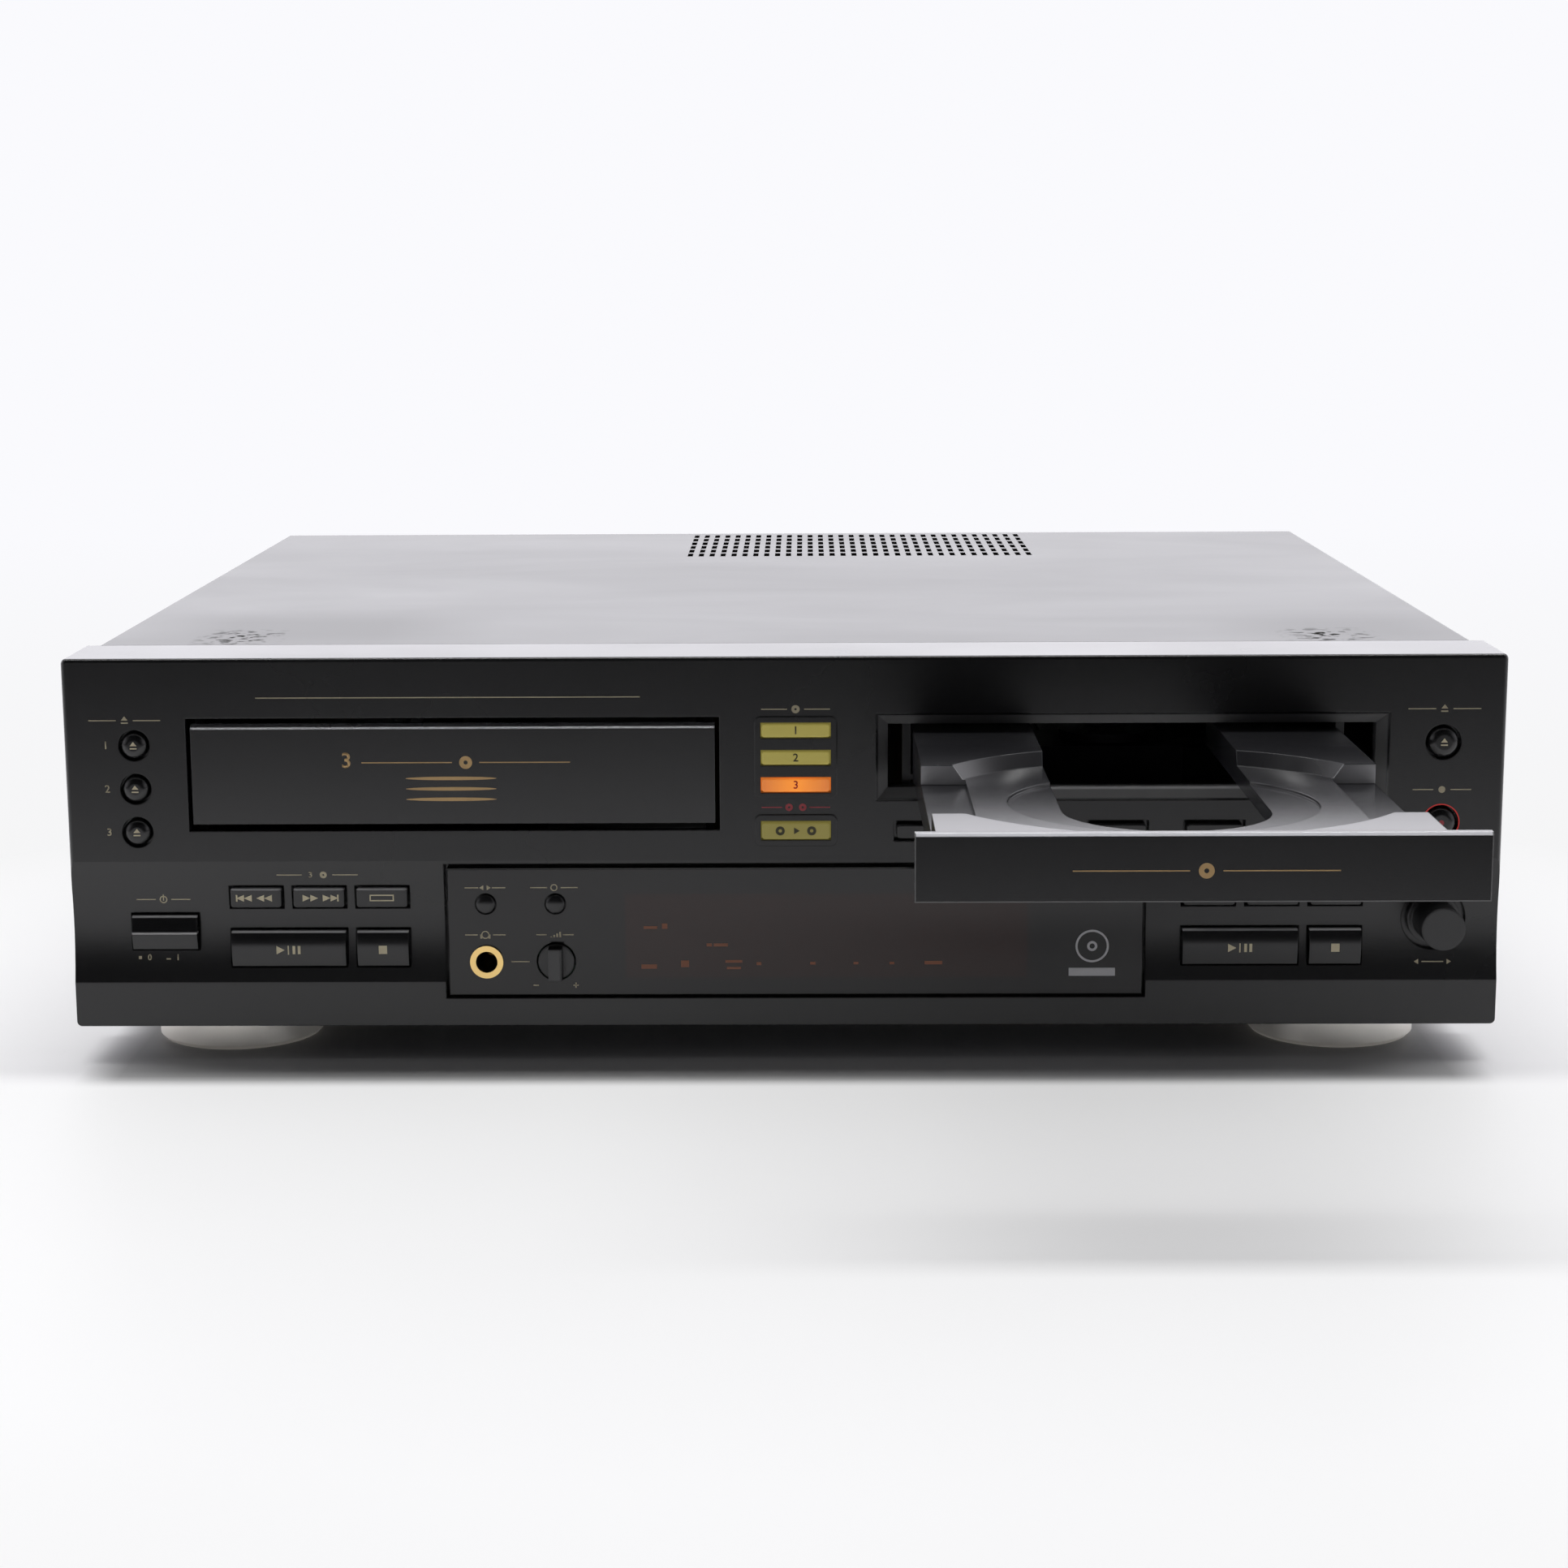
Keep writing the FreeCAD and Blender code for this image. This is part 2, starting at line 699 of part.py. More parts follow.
def front_panel():
    piece = body("front_panel")
    profile = drawing(piece, "profile", "YZ_Plane", "0 - half_width")
    panel_profile(profile)
    pad(piece, profile, "panel_width")
    soften(piece, "Fillet", "panel_round", front_top)
    soften(piece, "Fillet", "panel_corner", outer_corner)
    hollow = drawing(piece, "hollow", "YZ_Plane", "half_width - panel_skin")
    behind = "panel_depth + panel_skin"
    outline(hollow, [("panel_wall", "panel_skin"), ("panel_wall", "strip_height"),
                     ("cove_inside", "strip_height + cove_depth"),
                     ("cove_inside", "crease - cove_depth"), ("panel_wall", "crease"),
                     ("panel_wall", "panel_height - panel_skin"),
                     (behind, "panel_height - panel_skin"), (behind, "panel_skin")])
    pocket(piece, hollow, "panel_width - 2 * panel_skin")
    recess = (("recess_left", "recess_right"), ("recess_foot", "recess_head"))
    collar = front_drawing(piece, "collar", "panel_wall - panel_round")
    rectangle(collar, *recess, spread="recess_bevel + panel_wall")
    pad(piece, collar, "recess_depth + panel_round", against=True)
    plates = front_drawing(piece, "plates", "0 - plate_raise")
    across = ("plate_left", "plate_right")
    rectangle(plates, across, ("select_plate_foot", "select_plate_foot + select_plate_height"))
    rectangle(plates, across, ("copy_plate_foot", "copy_plate_head"))
    pad(piece, plates, "plate_raise + panel_round", against=True)
    soften(piece, "Fillet", "plate_round", raised_corner)
    outer = front_drawing(piece, "recess_outer", "0 - panel_round")
    rectangle(outer, *recess, spread="recess_bevel + panel_round")
    inner = front_drawing(piece, "recess_inner", "recess_bevel")
    rectangle(inner, *recess)
    bevel = piece.newObject("PartDesign::SubtractiveLoft", "front_panel_recess_bevel")
    bevel.Profile = outer
    bevel.Sections = [inner]
    holes = front_drawing(piece, "holes", "0 - panel_round - plate_raise")
    rectangle(holes, ("mouth_left", "mouth_right"), ("mouth_foot", "mouth_head"))
    rectangle(holes, *recess)
    rectangle(holes, ("window_left", "window_right"), ("window_foot", "window_top"), "window_gap")
    rectangle(holes, *POWER_KEY, spread="key_gap")
    for side in KEY_BLOCKS:
        for place in list(small_keys(side).values()) + list(tall_keys(side).values()):
            rectangle(holes, *place, spread="key_gap")
    for place in function_keys():
        rectangle(holes, *place, spread="key_gap + key_slack")
    for place in select_bars() + [COPY_BAR]:
        rectangle(holes, *place, spread="key_slack")
    for i in range(3):
        circle(holes, OPEN_KEY_ACROSS, open_key_up(i), "open_key_radius + key_gap")
    for up in ("mute_up", "right_open_up"):
        circle(holes, "right_key_across", up, "right_key_radius + key_gap")
    circle(holes, "jog_across", "jog_up", "jog_shaft_radius + run_gap")
    pocket(piece, holes, "cove_inside + recess_depth + panel_depth / 2")
    well = front_drawing(piece, "jog_well", "0 - panel_round")
    circle(well, "jog_across", "jog_up", "jog_well_radius")
    pocket(piece, well, "cove_inside")
    keep(piece, "front_panel")


# ---- keys and knobs ----

def push_key(label, across, up, front, wall):
    """A moulded key: a head in the panel's hole and a lip that keeps it behind the wall."""
    piece = body(label)
    head = front_drawing(piece, "head", front)
    rectangle(head, across, up)
    pad(piece, head, "%s + fit_gap + key_lip_thick - (%s)" % (wall, front), against=True)
    soften(piece, "Fillet", "key_corner", along_depth)
    soften(piece, "Fillet", "key_edge", on_front)
    lip = front_drawing(piece, "lip", wall + " + fit_gap")
    rectangle(lip, across, up, "key_lip")
    pad(piece, lip, "key_lip_thick", against=True)
    keep(piece, label)


def gable_key(label, across, up, rounding):
    """A tall key whose front is a low gable with a rounded ridge at half height."""
    piece = body(label)
    low, high = up
    back = "cove_inside + fit_gap + key_lip_thick"
    ridge = "((%s) + (%s)) / 2" % (low, high)
    section = drawing(piece, "section", "YZ_Plane", across[0])
    outline(section, [("cove_key_front", low), ("cove_key_front - tall_key_ridge", ridge),
                      ("cove_key_front", high + " - key_edge"),
                      ("cove_key_front + key_edge", high), (back, high), (back, low)])
    pad(piece, section, "(%s) - (%s)" % (across[1], across[0]))
    soften(piece, "Fillet", rounding, on_front)
    lip = front_drawing(piece, "lip", "cove_inside + fit_gap")
    rectangle(lip, across, up, "key_lip")
    pad(piece, lip, "key_lip_thick", against=True)
    keep(piece, label)


def round_key(label, across, up, radius, dome, front, wall):
    """A round key with a domed head and a lip behind the wall."""
    piece = body(label)
    head = front_drawing(piece, "head", front)
    circle(head, across, up, radius)
    pad(piece, head, "%s + fit_gap + key_lip_thick - (%s)" % (wall, front), against=True)
    soften(piece, "Fillet", dome, on_front)
    lip = front_drawing(piece, "lip", wall + " + fit_gap")
    circle(lip, across, up, radius + " + key_lip")
    pad(piece, lip, "key_lip_thick", against=True)
    keep(piece, label)


def level_knob():
    """A round knob set in the window, with an upright grip bar and the control's shaft."""
    centre = ("knob_across", "jack_up")
    front = "0 - window_proud - key_slack"
    back = "window_glass - key_slack"
    disc = rod("level_disc", "y", front, back, centre, "level_radius")
    grip = block("level_grip",
                 ("knob_across - level_grip_width / 2", "knob_across + level_grip_width / 2"),
                 (front + " - level_grip_proud", back),
                 ("jack_up - level_radius + key_edge", "jack_up + level_radius - key_edge"))
    shaft = rod("level_shaft", "y", back, "window_back - fit_gap", centre, "level_shaft_radius")
    keep(join("level_knob_whole", [disc, grip, shaft]), "level_knob")


def jog_knob():
    """A stepped jog knob in its well, on a shaft through the panel."""
    centre = ("jog_across", "jog_up")
    skirt = rod("jog_skirt", "y", "panel_round", "cove_inside - panel_round - fit_gap", centre,
                "jog_skirt_radius")
    cap = rod("jog_cap", "y", "0 - jog_proud", "panel_round", centre, "jog_cap_radius")
    shaft = rod("jog_shaft", "y", "panel_round", "cove_inside + panel_skin", centre,
                "jog_shaft_radius")
    keep(join("jog_knob_whole", [skirt, cap, shaft]), "jog_knob")


def controls():
    for i in range(3):
        round_key("open_key_%d" % (i + 1), OPEN_KEY_ACROSS, open_key_up(i), "open_key_radius",
                  "open_key_dome", "0 - key_proud", "panel_wall")
    round_key("recorder_open_key", "right_key_across", "right_open_up", "right_key_radius",
              "open_key_dome", "0 - key_proud", "panel_wall")
    round_key("record_mute_key", "right_key_across", "mute_up", "right_key_radius",
              "open_key_dome", "0 - key_proud", "panel_wall")
    for name, across in (("random_key", "jack_across"), ("play_mode_key", "knob_across")):
        round_key(name, across, "small_dome_up", "small_dome_radius", "small_dome_gap",
                  "0 - window_proud - key_edge", "window_glass")
    for i, place in enumerate(select_bars()):
        push_key("disc_bar_%d" % (i + 1), *place, "0 - select_bar_proud", "panel_wall")
    push_key("copy_bar", *COPY_BAR, "0 - select_bar_proud", "panel_wall")
    for i, place in enumerate(function_keys()):
        push_key("function_key_%d" % (i + 1), *place, "0 - key_proud", "panel_wall")
    for side in KEY_BLOCKS:
        for name, place in small_keys(side).items():
            push_key("%s_%s_key" % (side, name), *place, "cove_key_front", "cove_inside")
        for name, place in tall_keys(side).items():
            gable_key("%s_%s_key" % (side, name), *place, "tall_key_round")
    gable_key("power_key", *POWER_KEY, "power_key_round")
    level_knob()
    jog_knob()


# ---- display window and what is behind it ----

def display_window():
    piece = body("display_window")
    across = ("window_left", "window_right")
    up = ("window_foot", "window_top")
    face = front_drawing(piece, "face", "0 - window_proud")
    rectangle(face, across, up)
    pad(piece, face, "window_proud + window_back + window_flange_thick", against=True)
    soften(piece, "Chamfer", "window_edge", on_front)
    flange = front_drawing(piece, "flange", "window_back")
    rectangle(flange, across, up, "window_gap + window_flange")
    pad(piece, flange, "window_flange_thick", against=True)
    through = "window_proud + window_back + window_flange_thick"
    hollow = front_drawing(piece, "display_hollow", "window_glass - window_proud")
    rectangle(hollow, ("display_left", "display_right"),
              ("display_middle_up - display_height / 2", "display_middle_up + display_height / 2"),
              "panel_round")
    pocket(piece, hollow, through)
    room = front_drawing(piece, "control_hollow", "window_glass")
    rectangle(room, ("window_left + panel_skin", "display_left - panel_skin - panel_round"),
              ("window_foot + panel_skin", "window_top - panel_skin"))
    pocket(piece, room, through)
    holes = front_drawing(piece, "holes", "0 - window_proud - panel_round")
    for across in ("jack_across", "knob_across"):
        circle(holes, across, "small_dome_up", "small_dome_radius + small_dome_gap")
    circle(holes, "jack_across", "jack_up", "jack_ring_radius - jack_ring_thick + screw_slack")
    circle(holes, "knob_across", "jack_up", "level_radius + level_gap")
    pocket(piece, holes, through)
    keep(piece, "display_window")


def display_board():
    """The board behind the window, with the display tube and the level control on it."""
    board_front = "window_back + window_flange_thick"
    board = block("display_plate", ("knob_across - level_radius - key_lip",
                                    "window_right - panel_skin"),
                  (board_front, board_front + " + board_thick"),
                  ("window_foot + key_lip", "window_top - key_lip"))
    tube = block("display_tube", ("display_left", "display_right"),
                 ("window_glass - window_proud + fit_gap", board_front),
                 ("display_middle_up - display_height / 2",
                  "display_middle_up + display_height / 2"))
    control = block("level_control", ("knob_across - level_radius", "knob_across + level_radius"),
                    ("window_glass + fit_gap", board_front),
                    ("jack_up - level_radius", "jack_up + level_radius"))
    bore = rod("level_bore", "y", "0", board_front, ("knob_across", "jack_up"),
               "level_shaft_radius + run_gap")
    whole = join("display_board_whole", [board, tube, control])
    keep(trim("display_board_bored", whole, [bore]), "display_board")


def phones_jack():
    """The headphone socket: a ring on the window, a sleeve through it and its body behind."""
    centre = ("jack_across", "jack_up")
    front = "0 - window_proud - jack_ring_thick"
    ring = rod("jack_ring", "y", front, "0 - window_proud", centre, "jack_ring_radius")
    sleeve = rod("jack_sleeve", "y", "0 - window_proud", "window_glass + fit_gap", centre,
                 "jack_ring_radius - jack_ring_thick")
    box = block("jack_box", ("jack_across - jack_body / 2", "jack_across + jack_body / 2"),
                ("window_glass + fit_gap", front + " + jack_depth + panel_skin"),
                ("jack_up - jack_body / 2", "jack_up + jack_body / 2"))
    bore = rod("jack_bore", "y", front, front + " + jack_depth", centre, "jack_bore_radius")
    whole = join("phones_jack_whole", [ring, sleeve, box])
    keep(trim("phones_jack_bored", whole, [bore]), "phones_jack")


# ---- case ----

TWO_SIDES = ((-1, "left"), (1, "right"))


def top_cover():
    """A folded sheet over the top and both sides, with a field of vent slots at the rear."""
    piece = body("top_cover")
    section = front_drawing(piece, "section", "case_start")
    inside = "case_half - sheet"
    outline(section, [("0 - case_half", "cover_lift"), ("0 - case_half", "panel_height"),
                      ("case_half", "panel_height"), ("case_half", "cover_lift"),
                      (inside, "cover_lift"), (inside, "panel_height - sheet"),
                      ("sheet - case_half", "panel_height - sheet"),
                      ("sheet - case_half", "cover_lift")])
    pad(piece, section, "case_end - case_start", against=True)
    soften(piece, "Fillet", "cover_bend", on_bend)
    soften(piece, "Fillet", "cover_bend - sheet", inside_bend)
    slots = drawing(piece, "vents", "XY_Plane", "panel_height + sheet")
    first = "vent_offset - (vent_columns - 1) * vent_column_pitch / 2"
    for i in range(int(number("vent_rows"))):
        back = "case_end - vent_rear_margin - %d * vent_row_pitch" % i
        rectangle(slots, (first + " - vent_slot / 2", first + " + vent_slot / 2"),
                  (back + " - vent_length", back))
    cut = pocket(piece, slots, "3 * sheet")
    vents = piece.newObject("PartDesign::LinearPattern", "top_cover_vent_columns")
    vents.Originals = [cut]
    vents.Direction = (slots, ["H_Axis"])
    vents.setExpression("Length", ex("(vent_columns - 1) * vent_column_pitch"))
    vents.setExpression("Occurrences", ex("vent_columns"))
    piece.Tip = vents
    holes = drawing(piece, "screw_holes", "YZ_Plane", "case_half + sheet")
    for depth in SIDE_SCREWS:
        circle(holes, depth, "screw_lift", "screw_radius + screw_slack")
    pocket(piece, holes, "2 * case_half + 2 * sheet")
    keep(piece, "top_cover")


def on_bend(edge, whole):
    side = max(abs(edge.XMin), abs(edge.XMax))
    return along_depth(edge) and edge.ZMin > whole.ZMax - NEAR and side > whole.XMax - NEAR


def inside_bend(edge, whole):
    inner = whole.ZMax - number("sheet")
    side = max(abs(edge.XMin), abs(edge.XMax))
    return (along_depth(edge) and abs(edge.ZMin - inner) < NEAR
            and abs(side - whole.XMax + number("sheet")) < NEAR)


SIDE_SCREWS = ("case_start + screw_inset", "case_end - screw_inset")
REAR_SCREWS = ["%d * rear_screw_pitch" % i for i in (-2, -1, 0, 1, 2)]


def chassis_base():
    """The bottom sheet with upturned flanges at both sides and at the rear."""
    back = "case_inside - fit_gap"
    floor = block("base_floor", ("0 - inner_half", "inner_half"), ("case_start", back),
                  ("0", "base_sheet"))
    parts = [floor, block("base_rear", ("0 - inner_half", "inner_half"),
                          (back + " - base_sheet", back), ("0", "base_flange"))]
    holes = []
    for sign, side in TWO_SIDES:
        edge = "%d * inner_half" % sign
        low, high = (edge, edge + " + base_sheet") if sign < 0 else (edge + " - base_sheet", edge)
        parts.append(block("base_%s" % side, (low, high), ("case_start", back),
                           ("0", "base_flange")))
    for i, depth in enumerate(SIDE_SCREWS):
        holes.append(rod("base_side_hole_%d" % i, "x", "0 - case_half", "case_half",
                         (depth, "screw_lift"), "screw_radius + run_gap"))
    for i, across in enumerate(REAR_SCREWS):
        holes.append(rod("base_rear_hole_%d" % i, "y", back + " - 2 * base_sheet",
                         "case_inside", (across, "screw_lift"), "screw_radius + run_gap"))
    keep(trim("chassis_base_drilled", join("chassis_base_whole", parts), holes), "chassis_base")


JACK_ACROSS = ["jack_start + %d * jack_pitch" % i for i in range(int(number("jack_columns")))]
JACK_UP = ["jack_row_lift + %d * jack_pitch" % i for i in range(int(number("jack_rows")))]
JACK_BLOCK = ((JACK_ACROSS[0] + " - jack_block_margin", JACK_ACROSS[-1] + " + jack_block_margin"),
              (JACK_UP[0] + " - jack_block_margin", JACK_UP[-1] + " + jack_block_margin"))
INLET_ACROSS = "inlet_inset - half_width"
INLET_UP = "inlet_lift"


def around(centre, width, spread="0"):
    """The two ends of a width about a centre, each moved out by spread."""
    half = "(%s) / 2 + (%s)" % (width, spread)
    return ("%s - (%s)" % (centre, half), "%s + (%s)" % (centre, half))


def widened(ends, spread):
    return ("%s - (%s)" % (ends[0], spread), "%s + (%s)" % (ends[1], spread))


def rear_panel():
    plate = block("rear_plate", ("0 - inner_half", "inner_half"), ("case_inside", "case_end"),
                  ("fit_gap", "panel_height - sheet - fit_gap"))
    through = ("case_inside - sheet", "case_end + sheet")
    holes = [block("rear_jack_hole", widened(JACK_BLOCK[0], "screw_slack"), through,
                   widened(JACK_BLOCK[1], "screw_slack")),
             block("rear_inlet_hole", around(INLET_ACROSS, "inlet_width", "screw_slack"), through,
                   around(INLET_UP, "inlet_height", "screw_slack"))]
    for i, across in enumerate(REAR_SCREWS):
        holes.append(rod("rear_hole_%d" % i, "y", through[0], through[1],
                         (across, "screw_lift"), "screw_radius + screw_slack"))
    keep(trim("rear_panel_drilled", plate, holes), "rear_panel")


def feet():
    """Four round feet with a bevelled lower rim."""
    parts = []
    for sign, side in TWO_SIDES:
        across = "%d * (half_width - foot_inset)" % sign
        for end, depth in (("front", "foot_front"), ("rear", "case_end - foot_rear")):
            name = "foot_%s_%s" % (side, end)
            rim = "foot_bevel - foot_height"
            parts.append(rod(name, "z", rim, "0", (across, depth), "foot_radius"))
            parts.append(taper(name + "_rim", "z", "0 - foot_height", rim, (across, depth),
                               ("foot_radius - foot_bevel", "foot_radius")))
    keep(join("feet_whole", parts), "feet")


def case_screws():
    """The cover's side screws and the rear panel's screws, heads seated on the sheet."""
    parts = []
    for sign, side in TWO_SIDES:
        face = "%d * case_half" % sign
        ends = sorted((sign, -sign))
        head = [face, "%s + %d * screw_head_thick" % (face, sign)][::ends[1] * sign]
        shank = [face, "%s - %d * screw_length" % (face, sign)][::-ends[1] * sign]
        for i, depth in enumerate(SIDE_SCREWS):
            name = "screw_%s_%d" % (side, i)
            centre = (depth, "screw_lift")
            parts.append(rod(name + "_head", "x", head[0], head[1], centre,
                             "screw_head_radius"))
            parts.append(rod(name, "x", shank[0], shank[1], centre, "screw_radius"))
    for i, across in enumerate(REAR_SCREWS):
        centre = (across, "screw_lift")
        parts.append(rod("screw_rear_%d_head" % i, "y", "case_end",
                         "case_end + screw_head_thick", centre, "screw_head_radius"))
        parts.append(rod("screw_rear_%d" % i, "y", "case_end - screw_length", "case_end",
                         centre, "screw_radius"))
    keep(join("case_screws_whole", parts), "case_screws")


# ---- electrics ----

def transformer():
    """A laminated core on its lugs, with the winding standing out front and back."""
    left = "transformer_inset - inner_half"
    right = left + " + transformer_width"
    middle = left + " + transformer_width / 2"
    back = "case_inside - transformer_gap"
    front = back + " - transformer_depth"
    quarter = "transformer_depth / 4"
    top = "base_sheet + transformer_height"
    core = block("transformer_core", (left, right),
                 (front + " + " + quarter, back + " - " + quarter), ("base_sheet", top))
    coil = block("transformer_coil", around(middle, "coil_width"), (front, back),
                 ("base_sheet + 2 * transformer_lug", top + " - 2 * transformer_lug"))
    lugs = block("transformer_lugs", (left + " - 2 * transformer_lug",
                                      right + " + 2 * transformer_lug"),
                 (front + " + " + quarter, back + " - " + quarter),
                 ("base_sheet", "base_sheet + transformer_lug"))
    keep(join("transformer_whole", [core, coil, lugs]), "transformer")


def main_board():
    """The circuit board behind the recorder, on posts, with its larger components."""
    left = "changer_middle + changer_loader_half + loader_wall + board_margin"
    right = "inner_half - base_sheet - board_margin"
    front = "recorder_loader_end + board_gap"
    back = "case_inside - base_sheet - board_margin"
    top = "board_height + board_thick"
    parts = [block("board", (left, right), (front, back), ("board_height", top))]
    for sign, side in TWO_SIDES:
        across = left if sign < 0 else right
        for end, depth, turn in (("front", front, 1), ("rear", back, -1)):
            centre = ("%s - %d * board_margin" % (across, sign),
                      "%s + %d * board_margin" % (depth, turn))
            parts.append(rod("post_%s_%s" % (side, end), "z", "base_sheet", "board_height",
                             centre, "post_radius"))
    for i in range(4):
        centre = ("%s + (%d + 1) * capacitor_pitch" % (left, i), front + " + capacitor_pitch")
        parts.append(rod("capacitor_%d" % i, "z", top, top + " + capacitor_height", centre,
                         "capacitor_radius"))
    sink = "%s - capacitor_pitch - sink_length" % right
    parts.append(block("heat_sink", (sink, sink + " + sink_length"),
                       (front + " + capacitor_pitch", front + " + capacitor_pitch + sink_width"),
                       (top, top + " + sink_height")))
    for i in range(3):
        corner = "%s + (%d + 1) * 2 * capacitor_pitch" % (left, i)
        parts.append(block("chip_%d" % i, (corner, corner + " + chip_width"),
                           (front + " + 3 * capacitor_pitch",
                            front + " + 3 * capacitor_pitch + chip_width"),
                           (top, top + " + chip_thick")))
    keep(join("main_board_whole", parts), "main_board")


def rear_jacks():
    """Two rows of pin jacks on a block that sits in the rear panel."""
    face = "case_end + jack_flange"
    parts = [block("jack_block", JACK_BLOCK[0], ("case_end - jack_block_depth", "case_end"),
                   JACK_BLOCK[1]),
             block("jack_flange_plate", widened(JACK_BLOCK[0], "jack_flange"),
                   ("case_end", face), widened(JACK_BLOCK[1], "jack_flange"))]
    bores = []
    for i, across in enumerate(JACK_ACROSS):
        for j, up in enumerate(JACK_UP):
            name = "jack_%d_%d" % (i, j)
            parts.append(rod(name, "y", face, face + " + jack_length", (across, up),
                             "jack_radius"))
            bores.append(rod(name + "_bore", "y", face, face + " + jack_length", (across, up),
                             "jack_hole_radius"))
    keep(trim("rear_jacks_bored", join("rear_jacks_whole", parts), bores), "rear_jacks")


def power_inlet():
    """The mains inlet: a flanged housing with two pins in its recess."""
    front = "case_end - inlet_depth"
    back = "case_end + jack_flange"
    across = around(INLET_ACROSS, "inlet_width")
    up = around(INLET_UP, "inlet_height")
    housing = block("inlet_housing", across, (front, "case_end"), up)
    flange = block("inlet_flange", widened(across, "inlet_wall"), ("case_end", back),
                   widened(up, "inlet_wall"))
    hollow = block("inlet_hollow", widened(across, "0 - inlet_wall"),
                   (front + " + inlet_wall", back), widened(up, "0 - inlet_wall"))
    shell = trim("inlet_shell", join("inlet_solid", [housing, flange]), [hollow])
    pins = [rod("inlet_pin_%s" % side, "y", front, "case_end - inlet_wall",
                ("%s + %d * inlet_pin_pitch / 2" % (INLET_ACROSS, sign), INLET_UP),
                "inlet_pin_radius")
            for sign, side in TWO_SIDES]
    keep(join("power_inlet_whole", [shell] + pins), "power_inlet")


# ---- changer: drawer, door and trays ----

def slot_tools(name, across, disc_depth, back, up):
    """What cuts the open slot under a disc: a run to the rear with a round front end."""
    front = disc_depth + " - tray_slot_lead"
    return [block(name + "_run", around(across, "tray_slot"), (front, back), up),
            rod(name + "_end", "z", up[0], up[1], (across, front), "tray_slot / 2")]


def ledge_up(i):
    foot = "first_ledge + %d * tray_pitch" % i
    return (foot, foot + " + ledge_thick")


def changer_door():
    piece = body("changer_door")
    face = front_drawing(piece, "face", "0")
    rectangle(face, ("door_left", "door_right"), ("door_foot", "door_head"))
    pad(piece, face, "door_thick", against=True)
    soften(piece, "Chamfer", "door_bevel", front_top)
    keep(piece, "changer_door")


def changer_drawer():
    """An open-backed drawer whose walls carry a ledge for each tray."""
    middle = "changer_middle"
    inner = "door_thick + drawer_wall"
    up = ("drawer_foot", "drawer_head")
    floor = block("drawer_floor_plate", around(middle, "2 * drawer_half"),
                  ("door_thick", "drawer_end"), ("drawer_foot", "first_ledge"))
    slot = slot_tools("drawer_slot", middle, "changer_disc_depth", "drawer_end",
                      ("drawer_foot", "first_ledge"))
    parts = [trim("drawer_floor_slotted", floor, slot),
             block("drawer_front", around(middle, "2 * drawer_half"), ("door_thick", inner), up)]
    for sign, side in TWO_SIDES:
        places = ["%s + %d * %s" % (middle, sign, half) for half in ("drawer_inner", "drawer_half")]
        parts.append(block("drawer_wall_" + side, places[::sign], ("door_thick", "drawer_end"), up))
        ends = ["%s + %d * (drawer_inner - tray_ledge)" % (middle, sign), places[0]]
        for i in range(3):
            parts.append(block("drawer_ledge_%s_%d" % (side, i), ends[::sign],
                               (inner, "drawer_end"), ledge_up(i)))
    keep(join("changer_drawer_whole", parts), "changer_drawer")


def changer_trays():
    """Three flat trays, each with a recess for a large and a small disc."""
    middle = "changer_middle"
    for i in range(3):
        name = "changer_tray_%d" % (i + 1)
        foot = "%s + key_slack" % ledge_up(2 - i)[1]
        top = foot + " + tray_thick"
        centre = (middle, "changer_disc_depth")
        plate = block(name + "_plate", around(middle, "2 * tray_half"),
                      ("tray_start", "tray_end"), (foot, top))
        tools = slot_tools(name + "_slot", middle, "changer_disc_depth", "tray_end", (foot, top))
        tools.append(rod(name + "_disc", "z", top + " - disc_depth", top, centre, "disc_radius"))
        tools.append(rod(name + "_small_disc", "z", top + " - disc_depth - small_disc_depth",
                         top, centre, "small_disc_radius"))
        keep(trim(name + "_cut", plate, tools), name)


# ---- recorder: tray, door and tray gear ----

def recorder_door():
    piece = body("recorder_door")
    face = front_drawing(piece, "face", "recorder_tray_start - door_thick")
    rectangle(face, ("recorder_door_left", "recorder_door_right"),
              ("recorder_door_low", "recorder_door_high"))
    pad(piece, face, "door_thick", against=True)
    soften(piece, "Chamfer", "recorder_door_bevel", front_top)
    keep(piece, "recorder_door")


TRAY_ENDS = ("recorder_tray_start", "recorder_tray_end")


def disc_loft(piece):
    """The flared recess for the large disc."""
    centre = ("recorder_middle", "recorder_disc_middle")
    floor = drawing(piece, "disc_floor", "XY_Plane", "recorder_floor")
    circle(floor, *centre, "disc_radius")
    rim = drawing(piece, "disc_rim", "XY_Plane", "recorder_tray_top")
    circle(rim, *centre, "disc_radius + recorder_disc_flare")
    loft = piece.newObject("PartDesign::SubtractiveLoft", "recorder_tray_disc")
    loft.Profile = floor
    loft.Sections = [rim]


